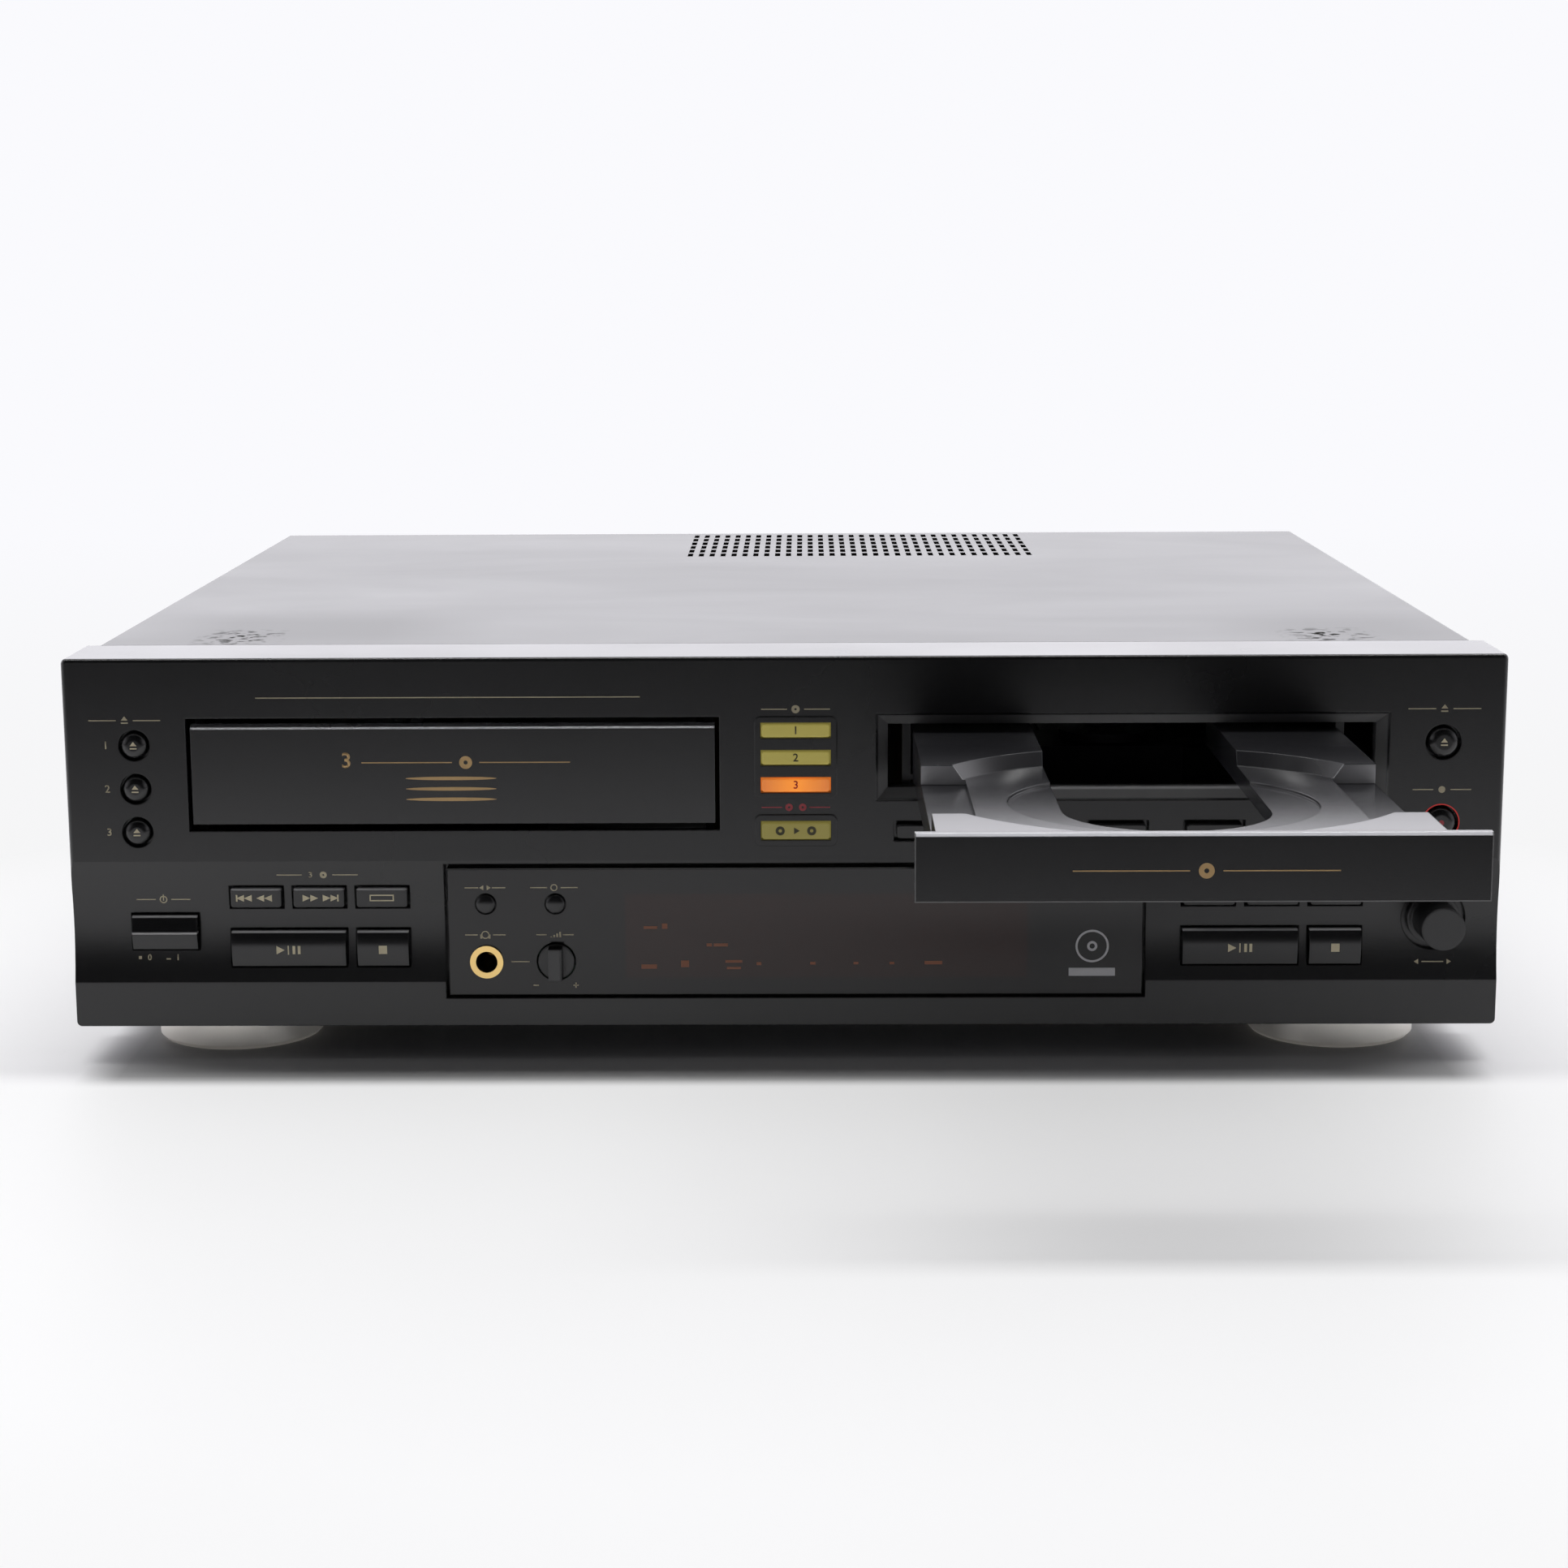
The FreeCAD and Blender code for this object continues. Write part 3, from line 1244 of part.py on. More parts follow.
def recorder_tray():
    """The tray: a plate on two skirts, the left one toothed on its inner side."""
    piece = body("recorder_tray")
    across = around("recorder_middle", "recorder_tray_width")
    plate = drawing(piece, "plate", "XY_Plane", "recorder_tray_under")
    rectangle(plate, across, TRAY_ENDS)
    pad(piece, plate, "recorder_tray_plate")
    skirts = drawing(piece, "skirts", "XY_Plane", "skirt_foot")
    rectangle(skirts, (across[0], across[0] + " + recorder_skirt_wall"), TRAY_ENDS)
    rectangle(skirts, (across[1] + " - recorder_skirt_wall", across[1]), TRAY_ENDS)
    pad(piece, skirts, "recorder_skirt + panel_round")
    rack_teeth(piece, across[0] + " + recorder_skirt_wall")
    grips = drawing(piece, "grips", "XY_Plane", "recorder_tray_top + panel_round")
    reach = around("recorder_disc_middle", "2 * recorder_finger_reach")
    rectangle(grips, (across[0] + " - panel_round", across[0] + " + recorder_finger_width"), reach)
    rectangle(grips, (across[1] + " - recorder_finger_width", across[1] + " + panel_round"), reach)
    pocket(piece, grips, "panel_round + recorder_finger_depth")
    disc_loft(piece)
    small = drawing(piece, "small_disc", "XY_Plane", "recorder_tray_top")
    circle(small, "recorder_middle", "recorder_disc_middle", "small_disc_radius")
    pocket(piece, small, "recorder_disc_depth + small_disc_depth")
    opening = drawing(piece, "slot", "XY_Plane", "recorder_tray_top + panel_round")
    slot_outline(opening)
    pocket(piece, opening, "2 * panel_round + recorder_tray_plate")
    keep(piece, "recorder_tray")


def slot_outline(draw):
    """The slot under the disc: straight to the rear, round at the front."""
    half = number("tray_slot") / 2
    guess = [Vector(half, 0, 0), Vector(half, 3 * half, 0), Vector(-half, 3 * half, 0),
             Vector(-half, 0, 0)]
    front = "recorder_disc_middle - tray_slot_lead"
    back = "recorder_tray_end + panel_round"
    low, high = around("recorder_middle", "tray_slot")
    places = [(high, front), (high, back), (low, back), (low, front)]
    for start, end in zip(guess, guess[1:]):
        draw.addGeometry(Part.LineSegment(start, end), False)
    draw.addGeometry(Part.Arc(guess[3], Vector(0, -half, 0), guess[0]), False)
    for i in range(4):
        draw.addConstraint(Sketcher.Constraint("Coincident", i, 2, (i + 1) % 4, 1))
    for i, place in enumerate(places[:3]):
        pin_point(draw, i, 1, guess[i], place)
    pin_point(draw, 2, 2, guess[3], places[3])
    bind(draw, "DistanceY", (-1, 1, 3, 3), 0.0, front)


# Half the angle that a gear tooth fills, in degrees, at each radius from its root to its tip.
TOOTH_FLANK = (
    ("pitch_radius - rack_root", 4.9),
    ("pitch_radius * cos(20)", 4.9),
    ("pitch_radius", 4.05),
    ("pitch_radius + tooth_head / 2", 2.7),
    ("pitch_radius + tooth_head", 1.35),
)


def rack_teeth(piece, face):
    """A row of teeth that stand on a skirt's inner face."""
    tooth = drawing(piece, "tooth", "XY_Plane", "skirt_foot")
    first = "gear_place + 3 * tooth_pitch / 2"
    slope = "tan(20)"
    half = "(tooth_pitch / 4 - tooth_slack / 4)"
    root = "(%s + rack_root * %s)" % (half, slope)
    tip = "(%s - tooth_head * %s)" % (half, slope)
    inside = face + " - panel_round"
    crest = face + " + rack_root + tooth_head"
    outline(tooth, [(inside, first + " - " + root), (face, first + " - " + root),
                    (crest, first + " - " + tip), (crest, first + " + " + tip),
                    (face, first + " + " + root), (inside, first + " + " + root)])
    one = pad(piece, tooth, "recorder_skirt + panel_round")
    count = "floor((tray_travel + 4 * tooth_pitch) / tooth_pitch)"
    rack = piece.newObject("PartDesign::LinearPattern", "recorder_tray_rack")
    rack.Originals = [one]
    rack.Direction = (tooth, ["V_Axis"])
    rack.Reversed = True
    rack.setExpression("Length", ex("(%s - 1) * tooth_pitch" % count))
    rack.setExpression("Occurrences", ex(count))
    piece.Tip = rack


def recorder_tray_gear():
    """The gear on the loader's pin that drives the tray's rack."""
    piece = body("recorder_tray_gear")
    disc = drawing(piece, "disc", "XY_Plane", "gear_foot")
    circle(disc, "gear_across", "gear_place", "pitch_radius - rack_root")
    pad(piece, disc, "gear_thick")
    tooth = drawing(piece, "tooth", "XY_Plane", "gear_foot")
    points = []
    for radius, angle in TOOTH_FLANK:
        reach = "gear_across - (%s) * cos(%s)" % (radius, angle)
        points.append((reach, "(%s) * sin(%s)" % (radius, angle)))
    near = [(across, "gear_place - " + half) for across, half in points]
    far = [(across, "gear_place + " + half) for across, half in points]
    inner = "gear_across - pitch_radius / 2"
    outline(tooth, [(inner, near[0][1])] + near + far[::-1] + [(inner, far[0][1])])
    one = pad(piece, tooth, "gear_thick")
    axis = drawing(piece, "axis", "XY_Plane", "gear_foot + gear_thick")
    circle(axis, "0", "0", "gear_pin_radius + run_gap")
    ring = piece.newObject("PartDesign::PolarPattern", "recorder_tray_gear_teeth")
    ring.Originals = [one]
    ring.Axis = (axis, ["N_Axis"])
    axis.setExpression("AttachmentOffset.Base.x", ex("gear_across"))
    axis.setExpression("AttachmentOffset.Base.y", ex("gear_place"))
    ring.Angle = 360
    ring.setExpression("Occurrences", ex("gear_teeth"))
    piece.Tip = ring
    pocket(piece, axis, "gear_thick")
    keep(piece, "recorder_tray_gear")


# ---- what lifts, turns and reads the discs ----

PLAYERS = {
    "changer": {"middle": "changer_middle", "depth": "changer_disc_depth",
                "deck": "changer_deck", "top": "changer_pedestal", "rise": "lift_travel",
                "half": "changer_loader_half", "head": "loader_top", "foot": "drawer_foot",
                "start": "loader_start", "end": "changer_loader_end",
                "rail_end": "drawer_end + ledge_gap"},
    "recorder": {"middle": "recorder_middle", "depth": "recorder_play_depth",
                 "deck": "recorder_deck", "top": "recorder_pedestal",
                 "rise": "recorder_lift_travel", "half": "recorder_loader_half",
                 "head": "recorder_loader_top", "foot": "skirt_foot",
                 "start": "recorder_loader_start", "end": "recorder_loader_end",
                 "rail_end": "recorder_loader_end"},
}


def lift_pins(place):
    """The depths of the front and the rear pair of lift pins."""
    middle = "%(depth)s + (pedestal_tail - pedestal_lead) / 2" % place
    return around(middle, "lift_pin_spread")


def traverse(side, place):
    """The lifting frame: a cross plate on four pins, and a pedestal with the motor's deck."""
    name = side + "_traverse"
    middle, deck, top = place["middle"], place["deck"], place["top"]
    front = place["depth"] + " - pedestal_lead"
    shelf_end = place["depth"] + " + pedestal_lead"
    back = place["depth"] + " + pedestal_tail"
    shell = block(name + "_pedestal", around(middle, "pedestal_width"), (front, back), (deck, top))
    room = block(name + "_room", around(middle, "pedestal_width", "0 - pedestal_wall"),
                 (front + " + pedestal_wall", back + " - pedestal_wall"),
                 (deck + " + lift_plate", top))
    shelf_foot = top + " - lift_plate"
    axle = (middle, place["depth"])
    parts = [trim(name + "_frame", shell, [room]),
             block(name + "_plate", around(middle, "2 * (%(half)s - lift_side)" % place),
                   (front, back), (deck, deck + " + lift_plate")),
             block(name + "_shelf", around(middle, "pedestal_width"), (front, shelf_end),
                   (shelf_foot, top)),
             rod(name + "_motor", "z", shelf_foot + " - motor_height", shelf_foot, axle,
                 "motor_radius")]
    for i, across in enumerate(around(middle, "rod_spread")):
        parts.append(rod("%s_rod_%d" % (name, i), "y", shelf_end + " - pedestal_wall",
                         back + " - pedestal_wall / 2", (across, top + " - rod_drop"),
                         "pickup_rod_radius"))
    ends = around(middle, "2 * (%(half)s + loader_wall)" % place)
    for i, depth in enumerate(lift_pins(place)):
        parts.append(rod("%s_pin_%d" % (name, i), "x", ends[0], ends[1],
                         (depth, deck + " + lift_pin_radius"), "lift_pin_radius"))
    bore = rod(name + "_bore", "z", shelf_foot + " - motor_height", top, axle,
               "spindle_radius + run_gap")
    keep(trim(name + "_bored", join(name + "_whole", parts), [bore]), name)


def turntable(side, place):
    name = side + "_turntable"
    foot = place["top"] + " + turn_gap"
    top = foot + " + turntable_thick"
    axle = (place["middle"], place["depth"])
    parts = [rod(name + "_disc", "z", foot, top, axle, "turntable_radius"),
             taper(name + "_cone", "z", top, top + " + spindle_cone_height", axle,
                   ("spindle_cone_radius", "spindle_cone_radius - spindle_cone_height")),
             rod(name + "_spindle", "z", place["top"] + " - motor_height", foot, axle,
                 "spindle_radius")]
    keep(join(name + "_whole", parts), name)


def pickup(side, place):
    """The sled that carries the lens along two rods."""
    name = side + "_pickup"
    front = place["depth"] + " + pedestal_lead + pickup_gap"
    deep = (front, front + " + pickup_length")
    top = place["top"] + " - turn_gap"
    sled = block(name + "_sled",
                 around(place["middle"], "pedestal_width", "0 - pedestal_wall - pickup_side"),
                 deep, (top + " - pickup_height", top))
    lens = rod(name + "_lens", "z", top, top + " + pickup_side",
               (place["middle"], front + " + pickup_length / 2"), "lens_radius")
    bores = [rod("%s_bore_%d" % (name, i), "y", deep[0], deep[1],
                 (across, place["top"] + " - rod_drop"), "pickup_rod_radius + run_gap")
             for i, across in enumerate(around(place["middle"], "rod_spread"))]
    keep(trim(name + "_bored", join(name + "_whole", [sled, lens]), bores), name)


def clamper(side, place):
    """The loose puck in the bridge: a pad below it, a hub through it and a flange above."""
    name = side + "_clamper"
    axle = (place["middle"], place["depth"])
    under = place["head"] + " - bridge_thick - fit_gap"
    over = place["head"] + " + fit_gap"
    parts = [rod(name + "_pad", "z", under + " - clamper_pad", under, axle, "clamper_radius"),
             rod(name + "_hub", "z", under, over, axle, "clamper_hub_radius"),
             rod(name + "_flange", "z", over, over + " + clamper_flange", axle,
                 "clamper_radius")]
    keep(join(name + "_whole", parts), name)


def loader(side, place):
    """The frame that guides a tray: two walls with rails, a deck and the clamper's bridge."""
    name = side + "_loader"
    middle, half, head, end = (place[key] for key in ("middle", "half", "head", "end"))
    low_start = "case_start + ledge_gap"
    outer = around(middle, "2 * (%s + loader_wall)" % half)
    rail = ("%(foot)s - fit_gap - rail_thick" % place, "%(foot)s - fit_gap" % place)
    parts = [block(name + "_deck", outer, (low_start, end),
                   ("base_sheet", "base_sheet + deck_thick")),
             block(name + "_bridge", outer, around(place["depth"], "bridge_length"),
                   (head + " - bridge_thick", head))]
    for sign, hand in TWO_SIDES:
        inner = "%s + %d * (%s)" % (middle, sign, half)
        wall = (inner, "%s + %d * loader_wall" % (inner, sign))[::sign]
        reach = ("%s - %d * rail_width" % (inner, sign), inner)[::sign]
        parts.append(block("%s_wall_%s" % (name, hand), wall, (low_start, end),
                           ("base_sheet", head)))
        parts.append(block("%s_guide_%s" % (name, hand), wall, (place["start"], low_start),
                           ("loader_step_up", head)))
        parts.append(block("%s_rail_%s" % (name, hand), reach,
                           (place["start"], place["rail_end"]), rail))
        if side == "changer":
            edge = "%s + %d * (drawer_inner - tray_ledge)" % (middle, sign)
            for i in range(3):
                parts.append(block("%s_ledge_%s_%d" % (name, hand, i), (edge, inner)[::sign],
                                   ("drawer_end + ledge_gap", end), ledge_up(i)))
    if side == "recorder":
        shelf = ("recorder_middle - recorder_loader_half", "gear_across + 2 * gear_pin_radius")
        parts.append(block("gear_shelf", shelf, around("gear_place", "4 * gear_pin_radius"), rail))
        parts.append(rod("gear_pin", "z", rail[0], "gear_foot + gear_thick",
                         ("gear_across", "gear_place"), "gear_pin_radius"))
    holes = [rod(name + "_hole", "z", head + " - bridge_thick", head,
                 (middle, place["depth"]), "clamper_hub_radius + fit_gap")]
    for i, depth in enumerate(lift_pins(place)):
        up = ("%(deck)s - slot_slack" % place,
              "%(deck)s + 2 * lift_pin_radius + %(rise)s + slot_slack" % place)
        holes.append(block("%s_pin_slot_%d" % (name, i), widened(outer, "loader_wall"),
                           around(depth, "2 * lift_pin_radius", "slot_slack"), up))
    keep(trim(name + "_slotted", join(name + "_whole", parts), holes), name)


front_panel()
controls()
display_window()
display_board()
phones_jack()
top_cover()
chassis_base()
rear_panel()
feet()
case_screws()
transformer()
main_board()
rear_jacks()
power_inlet()
changer_door()
changer_drawer()
changer_trays()
recorder_door()
recorder_tray()
recorder_tray_gear()
for hand, spots in PLAYERS.items():
    loader(hand, spots)
    traverse(hand, spots)
    turntable(hand, spots)
    pickup(hand, spots)
    clamper(hand, spots)
doc.recompute()

# ---- checks and files ----

for piece in doc.Objects:
    if {"Invalid", "Error"} & set(piece.State):
        raise RuntimeError("%s failed: %s" % (piece.Name, piece.State))
    if piece.TypeId in ("PartDesign::Pocket", "PartDesign::SubtractiveLoft"):
        if piece.Shape.Volume > piece.BaseFeature.Shape.Volume - NEAR:
            raise RuntimeError("%s cuts nothing" % piece.Name)
for piece in NODES:
    if piece.Shape.isNull() or not piece.Shape.isValid():
        raise RuntimeError("%s has no valid shape" % piece.Label)

os.makedirs("parts", exist_ok=True)
for piece in NODES:
    piece.Shape.exportStep(os.path.join("parts", piece.Label + ".step"))
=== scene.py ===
import json
import math

import bpy
from mathutils import Matrix, Vector


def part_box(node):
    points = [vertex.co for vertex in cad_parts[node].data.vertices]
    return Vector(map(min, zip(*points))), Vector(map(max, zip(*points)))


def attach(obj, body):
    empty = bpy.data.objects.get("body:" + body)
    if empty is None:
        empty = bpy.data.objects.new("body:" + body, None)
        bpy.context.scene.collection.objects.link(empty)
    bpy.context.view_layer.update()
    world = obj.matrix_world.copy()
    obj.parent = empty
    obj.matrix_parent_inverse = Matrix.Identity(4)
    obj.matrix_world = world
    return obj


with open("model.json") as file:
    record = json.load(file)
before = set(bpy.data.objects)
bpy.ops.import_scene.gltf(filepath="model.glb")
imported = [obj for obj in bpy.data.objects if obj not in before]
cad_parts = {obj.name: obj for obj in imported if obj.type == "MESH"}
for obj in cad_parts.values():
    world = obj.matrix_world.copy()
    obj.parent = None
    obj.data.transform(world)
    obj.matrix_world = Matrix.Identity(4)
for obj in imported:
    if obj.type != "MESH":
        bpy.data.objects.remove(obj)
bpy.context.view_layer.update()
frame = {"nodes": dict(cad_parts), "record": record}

# Places are given in millimetres from the panel: X across, Y back from its face, Z up from
# its lower edge. The panel's face lies this far forward and up in the model's own frame.
PANEL_Y = -110.75
PANEL_Z = 10.6
MM = 0.001


def place(x, y, z):
    return Vector((x, y + PANEL_Y, z + PANEL_Z)) * MM


def deselect():
    for thing in list(bpy.context.selected_objects):
        thing.select_set(False)


# ---- camera, floor and light ----

RIGHT = Vector((0.99989251, 0.01353988, -0.00562416))
UP = Vector((0.00299911, 0.18660185, 0.98243104))
AHEAD = Vector((-0.01435148, 0.98234231, -0.18654118))
CAMERA_SPOT = place(6.9, -865.7, 229.2)
SENSOR_WIDTH = 36.0
FOCAL_LENGTH = 69.2
SHIFT_X, SHIFT_Y = 0.01335, 0.0166
CLIP_END = 20.0


def add_camera():
    data = bpy.data.cameras.new("camera")
    data.sensor_width = SENSOR_WIDTH
    data.lens = FOCAL_LENGTH
    data.shift_x = SHIFT_X
    data.shift_y = SHIFT_Y
    data.clip_end = CLIP_END
    camera = bpy.data.objects.new("camera", data)
    turn = Matrix((RIGHT, UP, -AHEAD)).transposed().to_4x4()
    camera.matrix_world = Matrix.Translation(CAMERA_SPOT) @ turn
    bpy.context.scene.collection.objects.link(camera)
    bpy.context.scene.camera = camera


# Where a Mix node keeps its two inputs and its result, for colours and for plain values.
MIX_COLOURS = (6, 7, 2)
MIX_VALUES = (2, 3, 0)


class Nodes:
    """A small helper round one node tree, which is cleared unless it is to be added to."""

    def __init__(self, owner, fresh=True):
        owner.use_nodes = True
        self.tree = owner.node_tree
        if fresh:
            self.tree.nodes.clear()

    def add(self, kind, **values):
        node = self.tree.nodes.new("ShaderNode" + kind)
        for key, value in values.items():
            setattr(node, key, value)
        return node

    def link(self, source, output, target, socket):
        self.tree.links.new(source.outputs[output], target.inputs[socket])

    def find(self, kind):
        return next(node for node in self.tree.nodes if node.type == kind)

    def blend(self, name, mask, value):
        """Mixes another value into one of the shader's sockets where the mask is 1."""
        socket = self.find("BSDF_PRINCIPLED").inputs[name]
        coloured = socket.type == "RGBA"
        first, second, result = MIX_COLOURS if coloured else MIX_VALUES
        mix = self.add("Mix", data_type="RGBA" if coloured else "FLOAT")
        if socket.links:
            self.tree.links.new(socket.links[0].from_socket, mix.inputs[first])
        else:
            mix.inputs[first].default_value = socket.default_value
        mix.inputs[second].default_value = (*value, 1) if coloured else value
        self.link(mask, 0, mix, 0)
        self.tree.links.new(mix.outputs[result], socket)


def ramp(nodes, source, output, start, end, low, high):
    """A clamped straight ramp of one value."""
    node = nodes.add("MapRange")
    node.inputs["From Min"].default_value = start
    node.inputs["From Max"].default_value = end
    node.inputs["To Min"].default_value = low
    node.inputs["To Max"].default_value = high
    nodes.link(source, output, node, "Value")
    return node


# How strong the light is from each side, and where along an axis each side fades in.
FRONT_LEVEL, BACK_LEVEL, BACK_FADE = 0.03, 2.2, (-0.05, 0.3)
SIDE_LEVEL, SIDE_FADE = 0.8, (0.5, 0.9)
CEILING_PART, CEILING_FADE = 0.3, (0.35, 0.75)
WALL_LIGHT = (0.96, 0.95, 1.0, 1)
WHITE = (0.955, 0.955, 0.985, 1)


def add_world():
    """Light from a wall behind, dark in front, so that the black front stays black.

    The camera sees plain white."""
    world = bpy.data.worlds.new("studio")
    bpy.context.scene.world = world
    nodes = Nodes(world)
    direction = nodes.add("TexCoord")
    split = nodes.add("SeparateXYZ")
    nodes.link(direction, "Generated", split, "Vector")
    behind = ramp(nodes, split, "Y", *BACK_FADE, FRONT_LEVEL, BACK_LEVEL)
    across = nodes.add("Math", operation="ABSOLUTE")
    nodes.link(split, "X", across, 0)
    beside = ramp(nodes, across, "Value", *SIDE_FADE, 0.0, SIDE_LEVEL)
    walls = nodes.add("Math", operation="MAXIMUM")
    nodes.link(behind, "Result", walls, 0)
    nodes.link(beside, "Result", walls, 1)
    above = ramp(nodes, split, "Z", *CEILING_FADE, 1.0, CEILING_PART)
    strength = nodes.add("Math", operation="MULTIPLY")
    nodes.link(walls, "Value", strength, 0)
    nodes.link(above, "Result", strength, 1)
    lit = nodes.add("Background")
    lit.inputs["Color"].default_value = WALL_LIGHT
    nodes.link(strength, "Value", lit, "Strength")
    seen = nodes.add("Background")
    seen.inputs["Color"].default_value = WHITE
    seen.inputs["Strength"].default_value = 1.0
    ray = nodes.add("LightPath")
    mix = nodes.add("MixShader")
    nodes.link(ray, "Is Camera Ray", mix, 0)
    nodes.link(lit, "Background", mix, 1)
    nodes.link(seen, "Background", mix, 2)
    out = nodes.add("OutputWorld")
    nodes.link(mix, "Shader", out, "Surface")


# Name, place, what it points at, width, depth and power.
LAMPS = (("overhead_strip", (0.0, 0.15, 1.7), (0, -0.1, 0), 3.4, 0.22, 33.0),
         ("edge_strip", (0.0, -0.44, 1.7), (0, -0.1, 0.1), 3.4, 0.06, 1.5))


def add_lamp(name, spot, aim, width, depth, power):
    data = bpy.data.lights.new(name, "AREA")
    data.shape = "RECTANGLE"
    data.size = width
    data.size_y = depth
    data.energy = power
    lamp = bpy.data.objects.new(name, data)
    lamp.location = spot
    lamp.rotation_euler = (Vector(aim) - Vector(spot)).to_track_quat("-Z", "Y").to_euler()
    bpy.context.scene.collection.objects.link(lamp)


FLOOR_SIZE = 12.0
CLOUD_SCALE = 5.0
FLOOR_DARK, FLOOR_LIGHT = (0.84, 0.84, 0.84, 1), (0.89, 0.89, 0.89, 1)
# Well ahead of the part the floor is dark, so that it throws little light on the front.
AHEAD_FADE, AHEAD_PART = (-0.78, -0.46), 0.06
# Under the case the camera sees the floor darkened with painted shadow, up to a line just ahead of
# the front panel.
SHADOW_EDGE = -0.134
PAINTED_SHADOW_LOW, PAINTED_SHADOW_HIGH = (-0.2, SHADOW_EDGE, None), (0.2, 0.24, None)
PAINTED_SHADOW_RIM, PAINTED_SHADOW_PART = 0.006, 0.45
# Past that line the camera sees the floor half whitened, and far from its shadow all white.
OPEN_FADE, OPEN_PART = (SHADOW_EDGE - 0.006, SHADOW_EDGE + 0.002), 0.45
SHADOW_MIDDLE = (0, -0.12, 0)
FAR_FADE = (0.20, 0.44)
NEAR_WHITE = (0.905, 0.905, 0.905, 1)
HAZE_FADE = (-0.2, 1.5)


def add_stage():
    """A pale floor that keeps the part's shadow, adds painted shadow under the case, and turns
    evenly white away from it.
    """
    deselect()
    bpy.ops.mesh.primitive_plane_add(size=FLOOR_SIZE, location=(0, 0, 0))
    floor = bpy.context.object
    floor.name = "floor"
    material = bpy.data.materials.new("pale_floor")
    nodes = Nodes(material)
    spot = nodes.add("TexCoord")
    cloud = nodes.add("TexNoise")
    cloud.inputs["Scale"].default_value = CLOUD_SCALE
    cloud.inputs["Detail"].default_value = 4.0
    nodes.link(spot, "Object", cloud, "Vector")
    tint = nodes.add("ValToRGB")
    tint.color_ramp.elements[0].color = FLOOR_DARK
    tint.color_ramp.elements[1].color = FLOOR_LIGHT
    nodes.link(cloud, "Fac", tint, "Fac")
    split = nodes.add("SeparateXYZ")
    nodes.link(spot, "Object", split, "Vector")
    near = ramp(nodes, split, "Y", *AHEAD_FADE, AHEAD_PART, 1.0)
    # Painted shadow: camera rays see the floor darker in this box under the case.
    below = box_mask(nodes, PAINTED_SHADOW_LOW, PAINTED_SHADOW_HIGH, PAINTED_SHADOW_RIM)
    ray = nodes.add("LightPath")
    seen_painted_shadow = nodes.add("Math", operation="MULTIPLY")
    nodes.link(below, 0, seen_painted_shadow, 0)
    nodes.link(ray, "Is Camera Ray", seen_painted_shadow, 1)
    level = nodes.add("Math", operation="MULTIPLY")
    nodes.link(near, "Result", level, 0)
    nodes.link(ramp(nodes, seen_painted_shadow, 0, 0.0, 1.0, 1.0, PAINTED_SHADOW_PART), "Result", level, 1)
    shade = nodes.add("VectorMath", operation="SCALE")
    nodes.link(tint, "Color", shade, 0)
    nodes.link(level, "Value", shade, "Scale")
    matt = nodes.add("BsdfPrincipled")
    matt.inputs["Roughness"].default_value = 0.5
    matt.inputs["Specular IOR Level"].default_value = 0.2
    nodes.link(shade, "Vector", matt, "Base Color")
    glow = nodes.add("Emission")
    first, second, result = MIX_COLOURS
    haze = nodes.add("Mix", data_type="RGBA")
    haze.inputs[first].default_value = NEAR_WHITE
    haze.inputs[second].default_value = WHITE
    nodes.link(ramp(nodes, split, "Y", *HAZE_FADE, 0.0, 1.0), "Result", haze, 0)
    nodes.link(haze, result, glow, "Color")
    far = nodes.add("VectorMath", operation="DISTANCE")
    far.inputs[1].default_value = SHADOW_MIDDLE
    nodes.link(spot, "Object", far, 0)
    white = nodes.add("Math", operation="MAXIMUM")
    nodes.link(ramp(nodes, far, "Value", *FAR_FADE, 0.0, 1.0), "Result", white, 0)
    nodes.link(ramp(nodes, split, "Y", *OPEN_FADE, OPEN_PART, 0.0), "Result", white, 1)
    part = nodes.add("Math", operation="MULTIPLY")
    nodes.link(ray, "Is Camera Ray", part, 0)
    nodes.link(white, "Value", part, 1)
    mix = nodes.add("MixShader")
    nodes.link(part, "Value", mix, 0)
    nodes.link(matt, "BSDF", mix, 1)
    nodes.link(glow, "Emission", mix, 2)
    out = nodes.add("OutputMaterial")
    nodes.link(mix, "Shader", out, "Surface")
    floor.data.materials.append(material)


# ---- materials ----

SLOW_SCALE, SLOW_DETAIL = 14.0, 5.0
TONE_START, TONE_END = 0.3, 0.7
ROUGH_SPREAD = 0.05
COAT_ROUGHNESS = 0.12
GRAIN_DEPTH = 0.05


